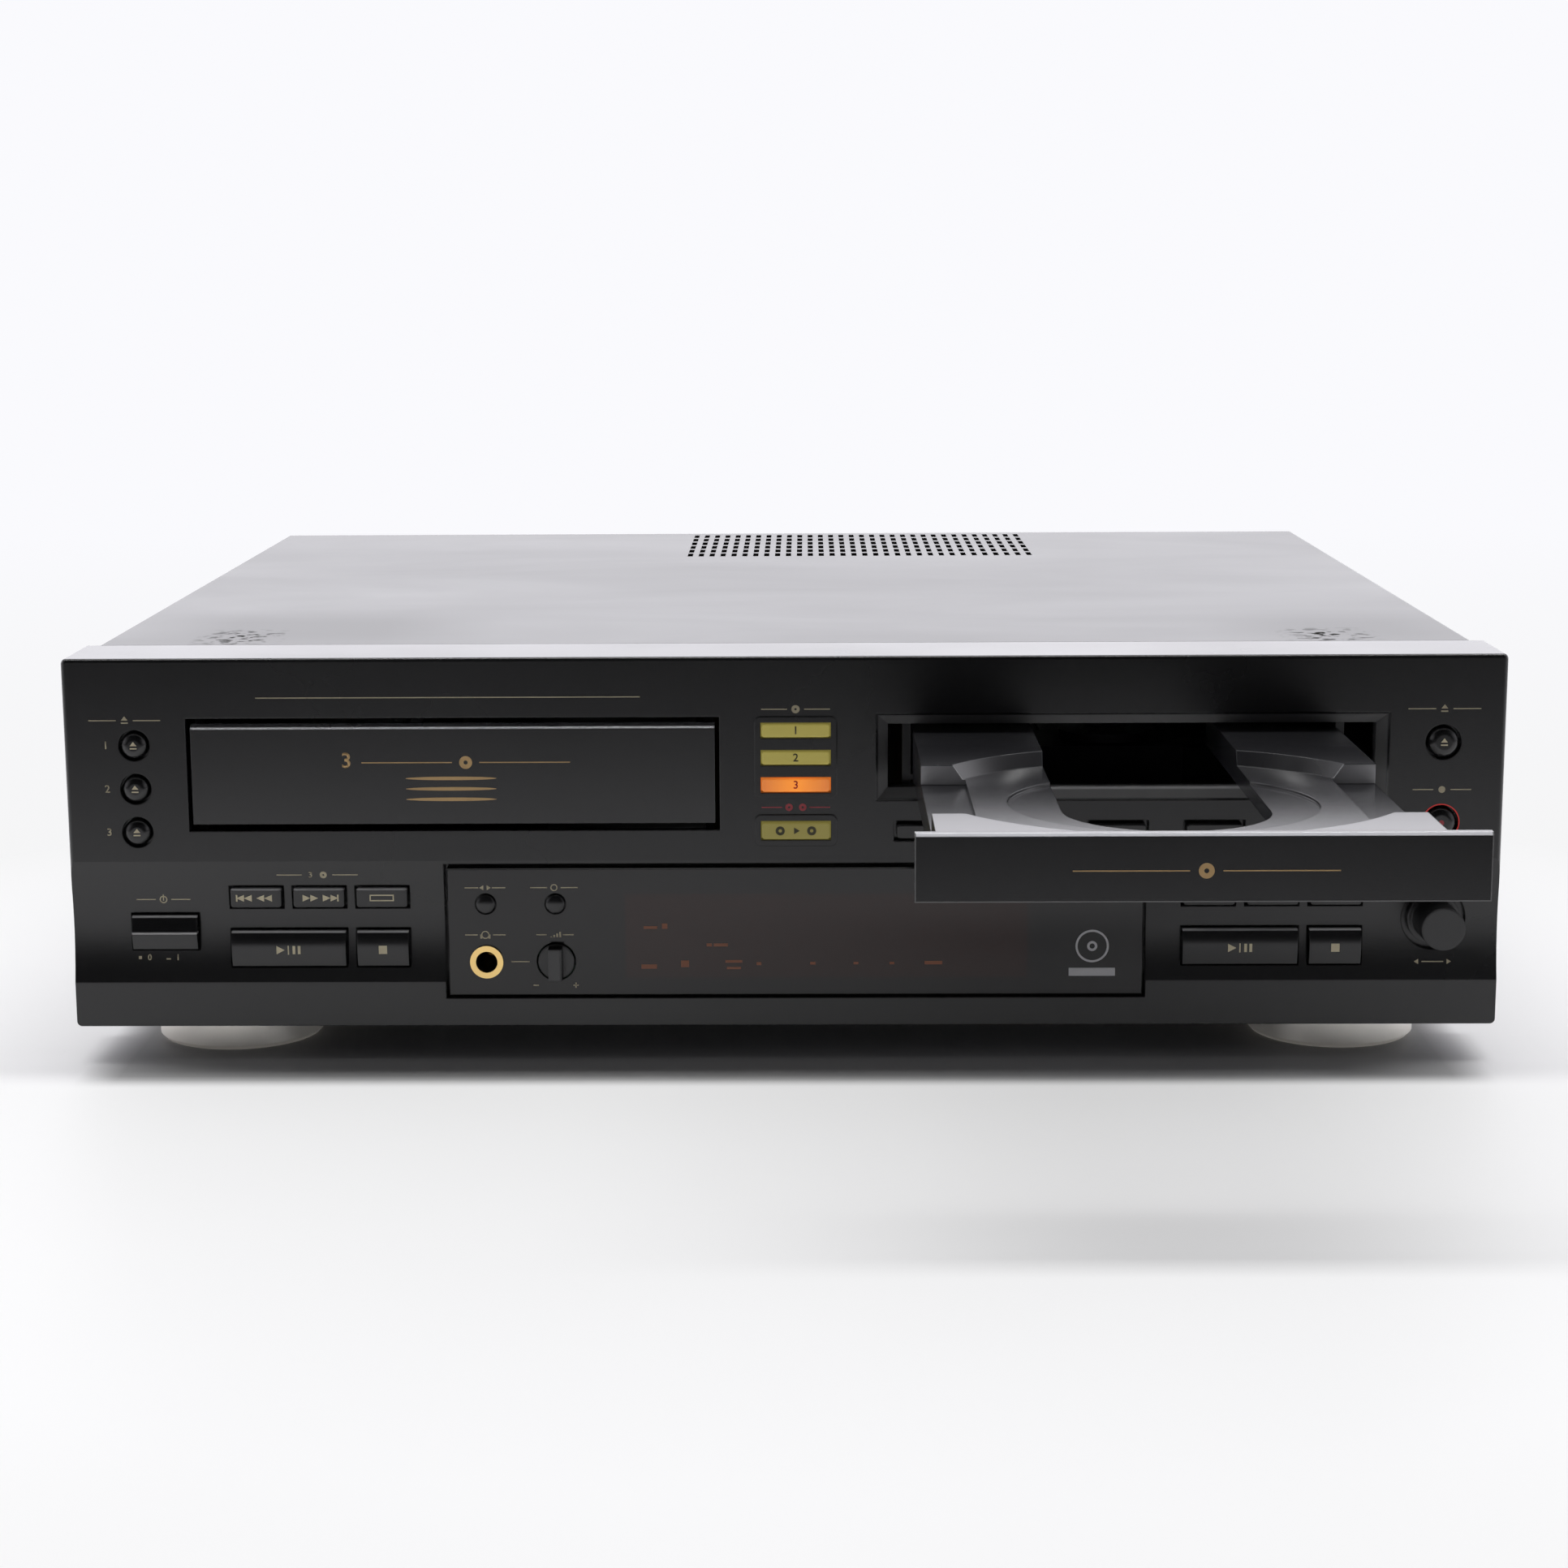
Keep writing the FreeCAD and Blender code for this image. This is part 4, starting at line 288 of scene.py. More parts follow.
def finish(name, colour, rough, grain=0.0, grain_size=0.4, metal=0.0, edge=0.0, coat=0.0,
           mottle=0.15, smudge=0.0, ior=1.5, glow=None):
    """A finish with a slow change of tone and gloss, and where named a fine grain, softly
    rounded edges, a clear coat or a glow, which is a colour and a strength."""
    material = bpy.data.materials.new(name)
    nodes = Nodes(material)
    spot = nodes.add("TexCoord")
    shader = nodes.add("BsdfPrincipled")
    shader.inputs["Metallic"].default_value = metal
    shader.inputs["IOR"].default_value = ior
    shader.inputs["Coat Weight"].default_value = coat
    shader.inputs["Coat Roughness"].default_value = COAT_ROUGHNESS
    slow = nodes.add("TexNoise")
    slow.inputs["Scale"].default_value = SLOW_SCALE
    slow.inputs["Detail"].default_value = SLOW_DETAIL
    nodes.link(spot, "Object", slow, "Vector")
    tone = nodes.add("ValToRGB")
    dark = [channel * (1 - mottle) for channel in colour]
    light = [min(1.0, channel * (1 + mottle)) for channel in colour]
    tone.color_ramp.elements[0].position = TONE_START
    tone.color_ramp.elements[0].color = (*dark, 1)
    tone.color_ramp.elements[1].position = TONE_END
    tone.color_ramp.elements[1].color = (*light, 1)
    nodes.link(slow, "Fac", tone, "Fac")
    nodes.link(tone, "Color", shader, "Base Color")
    gloss = nodes.add("MapRange")
    gloss.inputs["To Min"].default_value = max(0.0, rough - ROUGH_SPREAD - smudge)
    gloss.inputs["To Max"].default_value = rough + ROUGH_SPREAD + smudge
    nodes.link(slow, "Fac", gloss, "Value")
    nodes.link(gloss, "Result", shader, "Roughness")
    normal = None
    if edge:
        normal = nodes.add("Bevel", samples=4)
        normal.inputs["Radius"].default_value = edge * MM
    if grain:
        fine = nodes.add("TexNoise")
        fine.inputs["Scale"].default_value = 1.0 / (grain_size * MM)
        fine.inputs["Detail"].default_value = 2.0
        nodes.link(spot, "Object", fine, "Vector")
        bump = nodes.add("Bump")
        bump.inputs["Strength"].default_value = grain
        bump.inputs["Distance"].default_value = GRAIN_DEPTH * MM
        nodes.link(fine, "Fac", bump, "Height")
        if normal:
            nodes.link(normal, "Normal", bump, "Normal")
        normal = bump
    if normal:
        nodes.link(normal, "Normal", shader, "Normal")
    if glow:
        shader.inputs["Emission Color"].default_value = (*glow[0], 1)
        shader.inputs["Emission Strength"].default_value = glow[1]
    out = nodes.add("OutputMaterial")
    nodes.link(shader, "BSDF", out, "Surface")
    return material


def box_mask(nodes, low, high, soft):
    """1 inside a box in Object coordinates, 0 outside, with a soft rim."""
    split = nodes.add("SeparateXYZ")
    nodes.link(nodes.find("TEX_COORD"), "Object", split, "Vector")
    last = None
    for axis, start, end in zip("XYZ", low, high):
        for edge, turn in ((start, 1), (end, -1)):
            if edge is None:
                continue
            side = ramp(nodes, split, axis, edge - turn * soft, edge + turn * soft, 0.0, 1.0)
            if last:
                both = nodes.add("Math", operation="MULTIPLY")
                nodes.link(last, 0, both, 0)
                nodes.link(side, 0, both, 1)
                side = both
            last = side
    return last


PEAK_START, PEAK_END = 0.53, 0.6


def patch(material, low, high, colour, soft=0.1, rough=None, metal=None, broken=None,
          shine=None):
    """Gives one box of a finish another colour, and another gloss, metal or shine where named.

    A broken patch shows only in the peaks of a noise of that size, as a scuff does."""
    nodes = Nodes(material, fresh=False)
    mask = box_mask(nodes, low, high, soft * MM)
    if broken:
        speck = nodes.add("TexNoise")
        speck.inputs["Scale"].default_value = 1.0 / (broken * MM)
        speck.inputs["Detail"].default_value = 4.0
        nodes.link(nodes.find("TEX_COORD"), "Object", speck, "Vector")
        peaks = ramp(nodes, speck, "Fac", PEAK_START, PEAK_END, 0.0, 1.0)
        both = nodes.add("Math", operation="MULTIPLY")
        nodes.link(mask, 0, both, 0)
        nodes.link(peaks, 0, both, 1)
        mask = both
    nodes.blend("Base Color", mask, colour)
    if rough is not None:
        nodes.blend("Roughness", mask, rough)
    if metal is not None:
        nodes.blend("Metallic", mask, metal)
    if shine is not None:
        nodes.blend("Specular IOR Level", mask, shine)


STREAK_STRETCH, STREAK_SCALE = (4.0, 9.0, 4.0), 1.6
STREAK_DETAIL, STREAK_ROUGHNESS, STREAK_DISTORTION = 7.0, 0.62, 0.6
FILM_DARK, FILM_LIGHT = (0.020, 0.0195, 0.0205, 1), (0.034, 0.033, 0.0345, 1)
FILM_START, FILM_END = 0.36, 0.66
FILM_GLOSSY, FILM_DULL = 0.29, 0.41


def cover_paint():
    """Satin black sheet with the dull, streaky film that years of handling leave."""
    material = finish("cover_paint", (0.03, 0.03, 0.031), 0.34, grain=0.3, grain_size=0.5, ior=1.6,
                      edge=0.3, mottle=0.1)
    nodes = Nodes(material, fresh=False)
    shader = nodes.find("BSDF_PRINCIPLED")
    spot = nodes.find("TEX_COORD")
    stretch = nodes.add("Mapping")
    stretch.inputs["Scale"].default_value = STREAK_STRETCH
    nodes.link(spot, "Object", stretch, "Vector")
    streak = nodes.add("TexNoise")
    streak.inputs["Scale"].default_value = STREAK_SCALE
    streak.inputs["Detail"].default_value = STREAK_DETAIL
    streak.inputs["Roughness"].default_value = STREAK_ROUGHNESS
    streak.inputs["Distortion"].default_value = STREAK_DISTORTION
    nodes.link(stretch, "Vector", streak, "Vector")
    film = nodes.add("ValToRGB")
    film.color_ramp.elements[0].position = FILM_START
    film.color_ramp.elements[0].color = FILM_DARK
    film.color_ramp.elements[1].position = FILM_END
    film.color_ramp.elements[1].color = FILM_LIGHT
    nodes.link(streak, "Fac", film, "Fac")
    nodes.link(film, "Color", shader, "Base Color")
    dull = nodes.add("MapRange")
    dull.inputs["To Min"].default_value = FILM_GLOSSY
    dull.inputs["To Max"].default_value = FILM_DULL
    nodes.link(streak, "Fac", dull, "Value")
    nodes.link(dull, "Result", shader, "Roughness")
    return material


TRAY_BLACK = (0.012, 0.012, 0.0135)
FOOT_CHAMPAGNE = (0.9, 0.86, 0.8)
BAR_OLIVE = (0.42, 0.36, 0.085)

PAINTS = {
    "panel": finish("panel_satin_black", (0.0065, 0.0065, 0.007), 0.26, grain=0.22, edge=0.45,
                    ior=1.56),
    "door": finish("door_satin_black", (0.006, 0.006, 0.0065), 0.22, grain=0.15, edge=0.4,
                   ior=1.62),
    "key": finish("key_satin_black", (0.0065, 0.0065, 0.007), 0.2, grain=0.12, edge=0.35,
                  ior=1.56),
    "knob": finish("knob_satin_black", (0.007, 0.007, 0.0075), 0.24, grain=0.12, edge=0.8,
                   ior=1.56),
    "window": finish("window_smoked", (0.008, 0.0075, 0.0078), 0.14, edge=0.3, mottle=0.1),
    "cover": cover_paint(),
    "chassis": finish("plated_sheet", (0.5, 0.5, 0.5), 0.38, grain=0.3, metal=1.0, mottle=0.1),
    "rear": finish("rear_black_paint", (0.02, 0.02, 0.021), 0.45, grain=0.3, edge=0.2),
    # The feet glow faintly: painted light that brightens them in the shade under the case.
    "foot": finish("champagne_foot", FOOT_CHAMPAGNE, 0.34, grain=0.15, metal=1.0, edge=0.4,
                   glow=(FOOT_CHAMPAGNE, 0.04)),
    "screw": finish("black_plated_screw", (0.06, 0.06, 0.062), 0.3, metal=0.9, edge=0.2),
    "core": finish("core_laminations", (0.12, 0.1, 0.085), 0.55, grain=0.6, grain_size=0.6),
    "board": finish("board_green", (0.02, 0.09, 0.045), 0.4, grain=0.3),
    "socket": finish("gold_plated_ring", (0.86, 0.61, 0.24), 0.16, metal=1.0, mottle=0.08),
    "socket_plate": finish("socket_plate_black", (0.02, 0.02, 0.02), 0.5, grain=0.3, edge=0.3),
    "inlet": finish("inlet_black", (0.012, 0.012, 0.012), 0.45, grain=0.3, edge=0.3),
    "loader": finish("frame_moulding", (0.014, 0.014, 0.015), 0.5, grain=0.4),
    "drawer": finish("drawer_moulding", (0.02, 0.02, 0.021), 0.45, grain=0.4, edge=0.2),
    "tray": finish("tray_moulding", TRAY_BLACK, 0.2, grain=0.06, edge=0.4, smudge=-0.045),
    "turntable": finish("turntable_grey", (0.06, 0.06, 0.06), 0.4, edge=0.2),
    "pickup": finish("pickup_grey", (0.04, 0.04, 0.045), 0.4, edge=0.2),
    "clamper": finish("clamper_white", (0.72, 0.72, 0.69), 0.45, grain=0.2, edge=0.3),
    "gear": finish("gear_white", (0.75, 0.74, 0.7), 0.42, grain=0.2),
    "bar": finish("olive_bar", BAR_OLIVE, 0.34, grain=0.15, edge=0.3, mottle=0.06,
                  glow=(BAR_OLIVE, 0.3)),
    "lit_bar": finish("orange_lit_bar", (0.5, 0.2, 0.06), 0.34, edge=0.3, mottle=0.04,
                      glow=((0.6, 0.15, 0.02), 0.75)),
    "legend": finish("legend_sand", (0.4, 0.355, 0.24), 0.5, mottle=0.06),
    "key_legend": finish("legend_on_key", (0.56, 0.5, 0.34), 0.5, mottle=0.06),
    "grey_legend": finish("legend_grey", (0.42, 0.42, 0.43), 0.5, mottle=0.06),
    "gold_legend": finish("legend_gold", (0.5, 0.33, 0.15), 0.38, mottle=0.06, metal=0.3),
    "red_legend": finish("legend_red", (0.35, 0.045, 0.055), 0.5, mottle=0.06),
    "bar_legend": finish("legend_on_bar", (0.05, 0.045, 0.02), 0.5, mottle=0.06),
    "lit_legend": finish("legend_on_lit_bar", (0.45, 0.02, 0.01), 0.5, mottle=0.06),
    "segment": finish("display_segment", (0.09, 0.032, 0.014), 0.3, mottle=0.1,
                      glow=((0.5, 0.14, 0.04), 0.08)),
    "red_ring": finish("red_ring", (0.55, 0.02, 0.015), 0.3, mottle=0.06,
                       glow=((0.8, 0.03, 0.02), 0.12)),
    "red_jack": finish("red_jack_sleeve", (0.5, 0.02, 0.02), 0.35, edge=0.2),
    "white_jack": finish("white_jack_sleeve", (0.75, 0.75, 0.72), 0.35, edge=0.2),
    "lens": finish("pickup_lens", (0.03, 0.05, 0.12), 0.06, coat=1.0, mottle=0.05),
    # Painted shade, used for the screws' cross recesses, which are only flat films.
    "dark_gap": finish("dark_gap", (0.004, 0.004, 0.004), 0.7),
}


def paint_nodes():
    """Gives every CAD node the finish of its material slot."""
    for part in frame["record"]["subparts"]:
        node = frame["nodes"][part["node"]]
        node.data.materials.clear()
        node.data.materials.append(PAINTS[part["material_slot"]])


# ---- wear, tint, and painted light and shade ----

# Painted highlight along the doors' chamfers: its grey, and how far past the chamfer it reaches.
DOOR_HIGHLIGHT_GREY, DOOR_HIGHLIGHT_PAST = (0.62, 0.62, 0.65), 0.05
# Each door, its chamfer and how rough the painted highlight on it is.
DOOR_HIGHLIGHTS = (("changer_door", 1.6, 0.15), ("recorder_door", 0.8, 0.4))


def painted_door_highlight(material, node, chamfer, rough):
    """A painted highlight: a pale metallic line along the upper front edge of one piece."""
    low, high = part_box(node)
    patch(material, (low[0], low[1] - MM, high[2] - chamfer * MM),
          (high[0], low[1] + (chamfer + DOOR_HIGHLIGHT_PAST) * MM, high[2] + MM), DOOR_HIGHLIGHT_GREY, soft=0.05,
          rough=rough, metal=1.0)


WORN, WORN_TONE = 0.3, (0.13, 0.13, 0.13)


def worn_edges(node):
    """Greyer lines along the sides and the foot of a door's face."""
    low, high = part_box(node)
    for start, end in (((low[0], low[2]), (low[0] + WORN * MM, high[2])),
                       ((high[0] - WORN * MM, low[2]), (high[0], high[2])),
                       ((low[0], low[2]), (high[0], low[2] + WORN * MM))):
        patch(PAINTS["door"], (start[0], low[1] - MM, start[1]), (end[0], low[1] + MM, end[1]),
              WORN_TONE, soft=0.05)


# A key's own box also holds the hidden lip that keeps it in the panel.
KEY_LIP = 1.6
# Keys with a painted highlight along the top edge. The power key's ridge gets one too.
HIGHLIGHT_KEYS = ("power_key", "changer_play_key", "changer_stop_key", "recorder_play_key",
               "recorder_stop_key", "changer_back_key", "changer_forward_key",
               "changer_display_key")
HIGHLIGHT_DROP, HIGHLIGHT_HALF = 0.25, 0.3
HIGHLIGHT_INSET, HIGHLIGHT_DEPTH = 0.9, 2.5
HIGHLIGHT_TOP_TONE, HIGHLIGHT_RIDGE_TONE = 0.45, 0.34


def painted_key_highlight(key, height, tone):
    """A painted highlight: a paler, partly metallic line across a key, at a height in the model's
    frame.
    """
    low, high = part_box(key)
    patch(PAINTS["key"],
          (low[0] + HIGHLIGHT_INSET * MM, low[1] - MM, (height - HIGHLIGHT_HALF) * MM),
          (high[0] - HIGHLIGHT_INSET * MM, low[1] + HIGHLIGHT_DEPTH * MM,
           (height + HIGHLIGHT_HALF) * MM), (tone, tone, tone), soft=0.12, rough=0.25, metal=0.4)


# The patches below are boxes in panel millimetres, each from its low to its high corner.
DISPLAY_LOW, DISPLAY_HIGH, DISPLAY_RED = (-46.5, -3, 14.7), (71.8, 3, 40.0), (0.022, 0.008, 0.006)
JACK_DEPTH, JACK_GREY = 371.7, (0.55, 0.55, 0.56)
BORE_LOW, BORE_HIGH, BORE_BLACK = (-95, -1.2, 10), (-80, 20, 30), (0.01, 0.009, 0.008)
RECESS_LOW, RECESS_HIGH, RECESS_GREY = (20, 0.6, 50), (190, 30, 94), (0.09, 0.09, 0.09)
# The sill under the recorder's tray, with painted light on its face and a painted highlight on its
# edge: depth, foot, top and tone of its face and of its edge.
SILL_START, SILL_END, SILL_BACK = 62, 146, 6
SILL_LIGHT_BANDS = ((0.2, 67.9, 70.2, 0.26), (2.0, 70.2, 71.7, 0.62))
# The front faces of the steps in the tray's two sides, painted paler as painted light, measured
# down from its top.
STEP_WIDTH, STEP_DEPTH, STEP_DROP, STEP_LIT_GREY = 12.0, 5.4, 0.2, (0.4, 0.4, 0.41)
STEP_FRONT, STEP_BACK = -57.8, -57.3
# Spots on the tray's disc floor with less sheen, as painted shade from the slot above, each from
# its left to its right.
SHADED_SPOTS = ((58, 74), (131, 149))
SHADED_FRONT, SHADED_BACK, SHADED_FOOT, SHADED_TOP = -60, -41, 80, 87
COPY_OLIVE = (0.16, 0.14, 0.04)
LEVEL_LOW, LEVEL_HIGH, LEVEL_GREY = (-69.0, -8, 14.0), (-65.6, 0, 24.4), (0.035, 0.035, 0.036)
# Handled areas and scuffs on the cover, each from one corner to the other.
COVER_UNDER, COVER_OVER = 100, 130
HANDLED, HANDLED_BLACK = (((-190, 34), (-106, 102)), ((146, 30), (206, 92))), (0.024, 0.024, 0.0245)
SCUFFS, SCUFF_BLACK = (((-174, 33), (-157, 62)), ((156, 30), (175, 56))), (0.02, 0.02, 0.018)


def wear_tint_and_painted_light():
    """What differs from place to place within one finish: tint and wear, and painted highlights,
    light and shade.
    """
    patch(PAINTS["window"], place(*DISPLAY_LOW), place(*DISPLAY_HIGH), DISPLAY_RED, soft=0.4)
    patch(PAINTS["socket_plate"], (None, place(0, JACK_DEPTH, 0).y, None), (None, None, None),
          JACK_GREY)
    patch(PAINTS["socket"], place(*BORE_LOW), place(*BORE_HIGH), BORE_BLACK, rough=0.6, metal=0.0)
    patch(PAINTS["panel"], place(*RECESS_LOW), place(*RECESS_HIGH), RECESS_GREY, soft=0.2,
          rough=0.5)
    # Painted light on the sill's face and a painted highlight on its edge.
    for depth, foot, top, tone in SILL_LIGHT_BANDS:
        patch(PAINTS["panel"], place(SILL_START, depth, foot), place(SILL_END, SILL_BACK, top),
              (tone, tone, tone), soft=0.2, rough=0.45)
    # Painted highlights on the doors' top chamfers.
    for door, chamfer, rough in DOOR_HIGHLIGHTS:
        painted_door_highlight(PAINTS["door"], door, chamfer, rough)
    worn_edges("recorder_door")
    # Painted highlights along the keys' top edges and on the power key's ridge.
    for name in HIGHLIGHT_KEYS:
        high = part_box(name)[1]
        painted_key_highlight(name, high[2] / MM - KEY_LIP - HIGHLIGHT_DROP, HIGHLIGHT_TOP_TONE)
    low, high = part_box("power_key")
    painted_key_highlight("power_key", (low[2] + high[2]) / 2 / MM, HIGHLIGHT_RIDGE_TONE)
    # Painted light on the front faces of the steps in the tray.
    low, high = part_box("recorder_tray")
    for start, end in ((low[0], low[0] + STEP_WIDTH * MM), (high[0] - STEP_WIDTH * MM, high[0])):
        patch(PAINTS["tray"], (start, place(0, STEP_FRONT, 0).y, high[2] - STEP_DEPTH * MM),
              (end, place(0, STEP_BACK, 0).y, high[2] - STEP_DROP * MM), STEP_LIT_GREY, rough=0.5)
    # Painted shade: less sheen on the disc floor under the slot.
    for start, end in SHADED_SPOTS:
        patch(PAINTS["tray"], place(start, SHADED_FRONT, SHADED_FOOT), place(end, SHADED_BACK, SHADED_TOP),
              TRAY_BLACK, soft=6.0, shine=0.12)
    low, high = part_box("copy_bar")
    patch(PAINTS["bar"], [side - MM for side in low], [side + MM for side in high], COPY_OLIVE)
    patch(PAINTS["knob"], place(*LEVEL_LOW), place(*LEVEL_HIGH), LEVEL_GREY, rough=0.3)
    for low, high in HANDLED:
        patch(PAINTS["cover"], place(*low, COVER_UNDER), place(*high, COVER_OVER), HANDLED_BLACK,
              soft=18.0, rough=0.4)
    for low, high in SCUFFS:
        patch(PAINTS["cover"], place(*low, COVER_UNDER), place(*high, COVER_OVER), SCUFF_BLACK,
              soft=6.0, rough=0.7, broken=4.0, shine=0.0)


LIT_HALF, LIT_FADE = 5, 4
LIT_YELLOW, LIT_GLOW = (0.6, 0.42, 0.05), (0.92, 0.17, 0.02)


def light_bar():
    """The lamp behind the lit bar shows most in its middle."""
    low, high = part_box("disc_bar_3")
    middle = (low[0] + high[0]) / 2
    nodes = Nodes(PAINTS["lit_bar"], fresh=False)
    mask = box_mask(nodes, (middle - LIT_HALF * MM, None, None),
                    (middle + LIT_HALF * MM, None, None), LIT_FADE * MM)
    nodes.blend("Base Color", mask, LIT_YELLOW)
    nodes.blend("Emission Color", mask, LIT_GLOW)


# ---- making pieces ----

def settle(piece, name, body, paint):
    """Names, paints and fixes a finished piece, and lets it ride on its body."""
    piece.name = name
    piece.data.materials.clear()
    piece.data.materials.append(PAINTS[paint])
    deselect()
    piece.select_set(True)
    bpy.context.view_layer.objects.active = piece
    bpy.ops.object.transform_apply(location=True, rotation=True, scale=True)
    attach(piece, body)


THICK = 0.08


def thicken():
    """Turns a flat mark into a thin film: lifts a copy of it off the surface."""
    bpy.ops.object.mode_set(mode="EDIT")
    bpy.ops.mesh.select_all(action="SELECT")
    bpy.ops.mesh.extrude_region_move(TRANSFORM_OT_translate={"value": (0, -THICK * MM, 0)})
    bpy.ops.mesh.select_all(action="SELECT")
    bpy.ops.mesh.normals_make_consistent(inside=False)
    bpy.ops.object.mode_set(mode="OBJECT")


def flat_shape(corners, x, y, z, width, height, turn=0.0):
    """A thin polygon in the panel's plane, such as a triangle, square or disc."""
    deselect()
    bpy.ops.mesh.primitive_circle_add(
        vertices=corners, radius=1.0, fill_type="NGON", location=place(x, y, z),
        rotation=(math.pi / 2, turn, 0))
    shape = bpy.context.object
    bpy.ops.object.transform_apply(location=False, rotation=True, scale=False)
    spread = [max(v.co[i] for v in shape.data.vertices) - min(v.co[i] for v in shape.data.vertices)
              for i in (0, 2)]
    shape.scale = (width * MM / spread[0], 1, height * MM / spread[1])
    bpy.ops.object.transform_apply(location=False, rotation=False, scale=True)
    thicken()
    return shape


def triangle(x, y, z, width, height, way):
    turns = {"up": 0.0, "right": math.pi / 2, "down": math.pi, "left": -math.pi / 2}
    return flat_shape(3, x, y, z, width, height, turns[way])


def bar(x, y, z, width, height):
    return flat_shape(4, x, y, z, width, height, math.pi / 4)


def bars(x, y, z, table):
    """Bars round one point: how far across and up from it, then width and height of each."""
    return [bar(x + across, y, z + up, width, height) for across, up, width, height in table]


RING_CORNERS = 40


def ring(x, y, z, outer, inner):
    """A thin flat ring in the panel's plane."""
    deselect()
    bpy.ops.mesh.primitive_circle_add(vertices=RING_CORNERS, radius=outer * MM, fill_type="NGON",
                                      location=place(x, y, z), rotation=(math.pi / 2, 0, 0))
    shape = bpy.context.object
    bpy.ops.object.transform_apply(location=False, rotation=True, scale=False)
    bpy.ops.object.mode_set(mode="EDIT")
    bpy.ops.mesh.select_all(action="SELECT")
    bpy.ops.mesh.inset(thickness=(outer - inner) * MM)
    bpy.ops.mesh.delete(type="FACE")
    bpy.ops.object.mode_set(mode="OBJECT")
    thicken()
    return shape


CAP_HEIGHT, BOLDER = 0.7, 0.02


def numeral(text, x, y, z, height):
    """A numeral, centred in the panel's plane."""
    deselect()
    bpy.ops.object.text_add(location=place(x, y, z), rotation=(math.pi / 2, 0, 0))
    shape = bpy.context.object
    shape.data.body = text
    shape.data.size = height * MM / CAP_HEIGHT
    shape.data.align_x = "CENTER"
    shape.data.align_y = "CENTER"
    shape.data.resolution_u = 3
    shape.data.offset = BOLDER * height * MM
    bpy.ops.object.convert(target="MESH")
    shape = bpy.context.object
    bpy.ops.object.transform_apply(location=False, rotation=True, scale=True)
    thicken()
    return shape


def mark(name, body, paint, shapes):
    """Joins flat shapes into one mark."""
    deselect()
    for shape in shapes:
        shape.select_set(True)
    bpy.context.view_layer.objects.active = shapes[0]
    if len(shapes) > 1:
        bpy.ops.object.join()
    settle(bpy.context.object, name, body, paint)


def face_of(node, inset=0.02):
    """How far back a node's front lies, in panel millimetres."""
    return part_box(node)[0][1] / MM - PANEL_Y + inset


def middle_of(node):
    """The middle of a node's front, across and up, in panel millimetres."""
    low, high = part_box(node)
    return ((low[0] + high[0]) / 2 / MM, (low[2] + high[2]) / 2 / MM - PANEL_Z)


# ---- marks on keys: sizes in millimetres from the middle of each key ----

SIDES = ("changer", "recorder")
TALL_DROP = 0.3
PLAY_ARROW = (-2.8, 2.4, 2.5)
PLAY_BARS = ((-0.1, 0, 0.35, 2.7), (1.55, 0, 0.8, 2.45), (3.1, 0, 0.8, 2.45))
STOP_SQUARE = ((0, 0, 2.45, 2.45),)


def key_marks():
    """Play, pause and stop symbols on the four tall keys."""
    for side in SIDES:
        play = side + "_play_key"
        x, z = middle_of(play)
        y = face_of(play)
        z -= TALL_DROP
        across, width, height = PLAY_ARROW
        mark(side + "_play_mark", play, "key_legend",
             [triangle(x + across, y, z, width, height, "right")] + bars(x, y, z, PLAY_BARS))
        stop = side + "_stop_key"
        x, z = middle_of(stop)
        mark(side + "_stop_mark", stop, "key_legend",
             bars(x, face_of(stop), z - TALL_DROP, STOP_SQUARE))


SKIP_KEYS = (("changer_back_key", "left", -1), ("changer_forward_key", "right", 1))
SKIP_END, SKIP_ARROWS = 5.65, (4.25, 1.95, -1.7, -4.0)
SKIP_BAR, SKIP_ARROW, SKIP_HEIGHT = 0.45, 2.3, 2.0
DISPLAY_FRAME = ((0, 0.8, 7.0, 0.35), (0, -0.8, 7.0, 0.35),
                 (-3.4, 0, 0.35, 1.9), (3.4, 0, 0.35, 1.9))
PLAIN_KEYS = ("recorder_record_key", "recorder_erase_key", "recorder_finish_key")
PLAIN_LINE = ((0, 0, 5.0, 0.4),)


def skip_marks():
    """Skip symbols and a frame on the changer's small keys, a line on the recorder's."""
    for name, way, sign in SKIP_KEYS:
        x, z = middle_of(name)
        y = face_of(name)
        shapes = [bar(x + sign * SKIP_END, y, z, SKIP_BAR, SKIP_HEIGHT)]
        for step in SKIP_ARROWS:
            shapes.append(triangle(x + sign * step, y, z, SKIP_ARROW, SKIP_HEIGHT, way))
        mark(name.replace("_key", "_mark"), name, "key_legend", shapes)
    for name in ("changer_display_key", *PLAIN_KEYS):
        x, z = middle_of(name)
        table = PLAIN_LINE if name in PLAIN_KEYS else DISPLAY_FRAME
        mark(name.replace("_key", "_mark"), name, "key_legend",
             bars(x, face_of(name), z, table))


EJECT_SIZE = 2.0
EJECT_ARROW_UP, EJECT_ARROW_TALL = 0.22, 0.62
EJECT_BAR_DOWN, EJECT_BAR_TALL = 0.36, 0.2


def eject_shapes(x, y, z):
    """A triangle over a bar."""
    size = EJECT_SIZE
    return [triangle(x, y, z + EJECT_ARROW_UP * size, size, EJECT_ARROW_TALL * size, "up"),
            bar(x, y, z - EJECT_BAR_DOWN * size, size, EJECT_BAR_TALL * size)]


OPEN_NUMBER_X, OPEN_NUMBER_TALL = -197.7, 2.2
DOT_CORNERS, RECORD_DOT = 20, 1.6


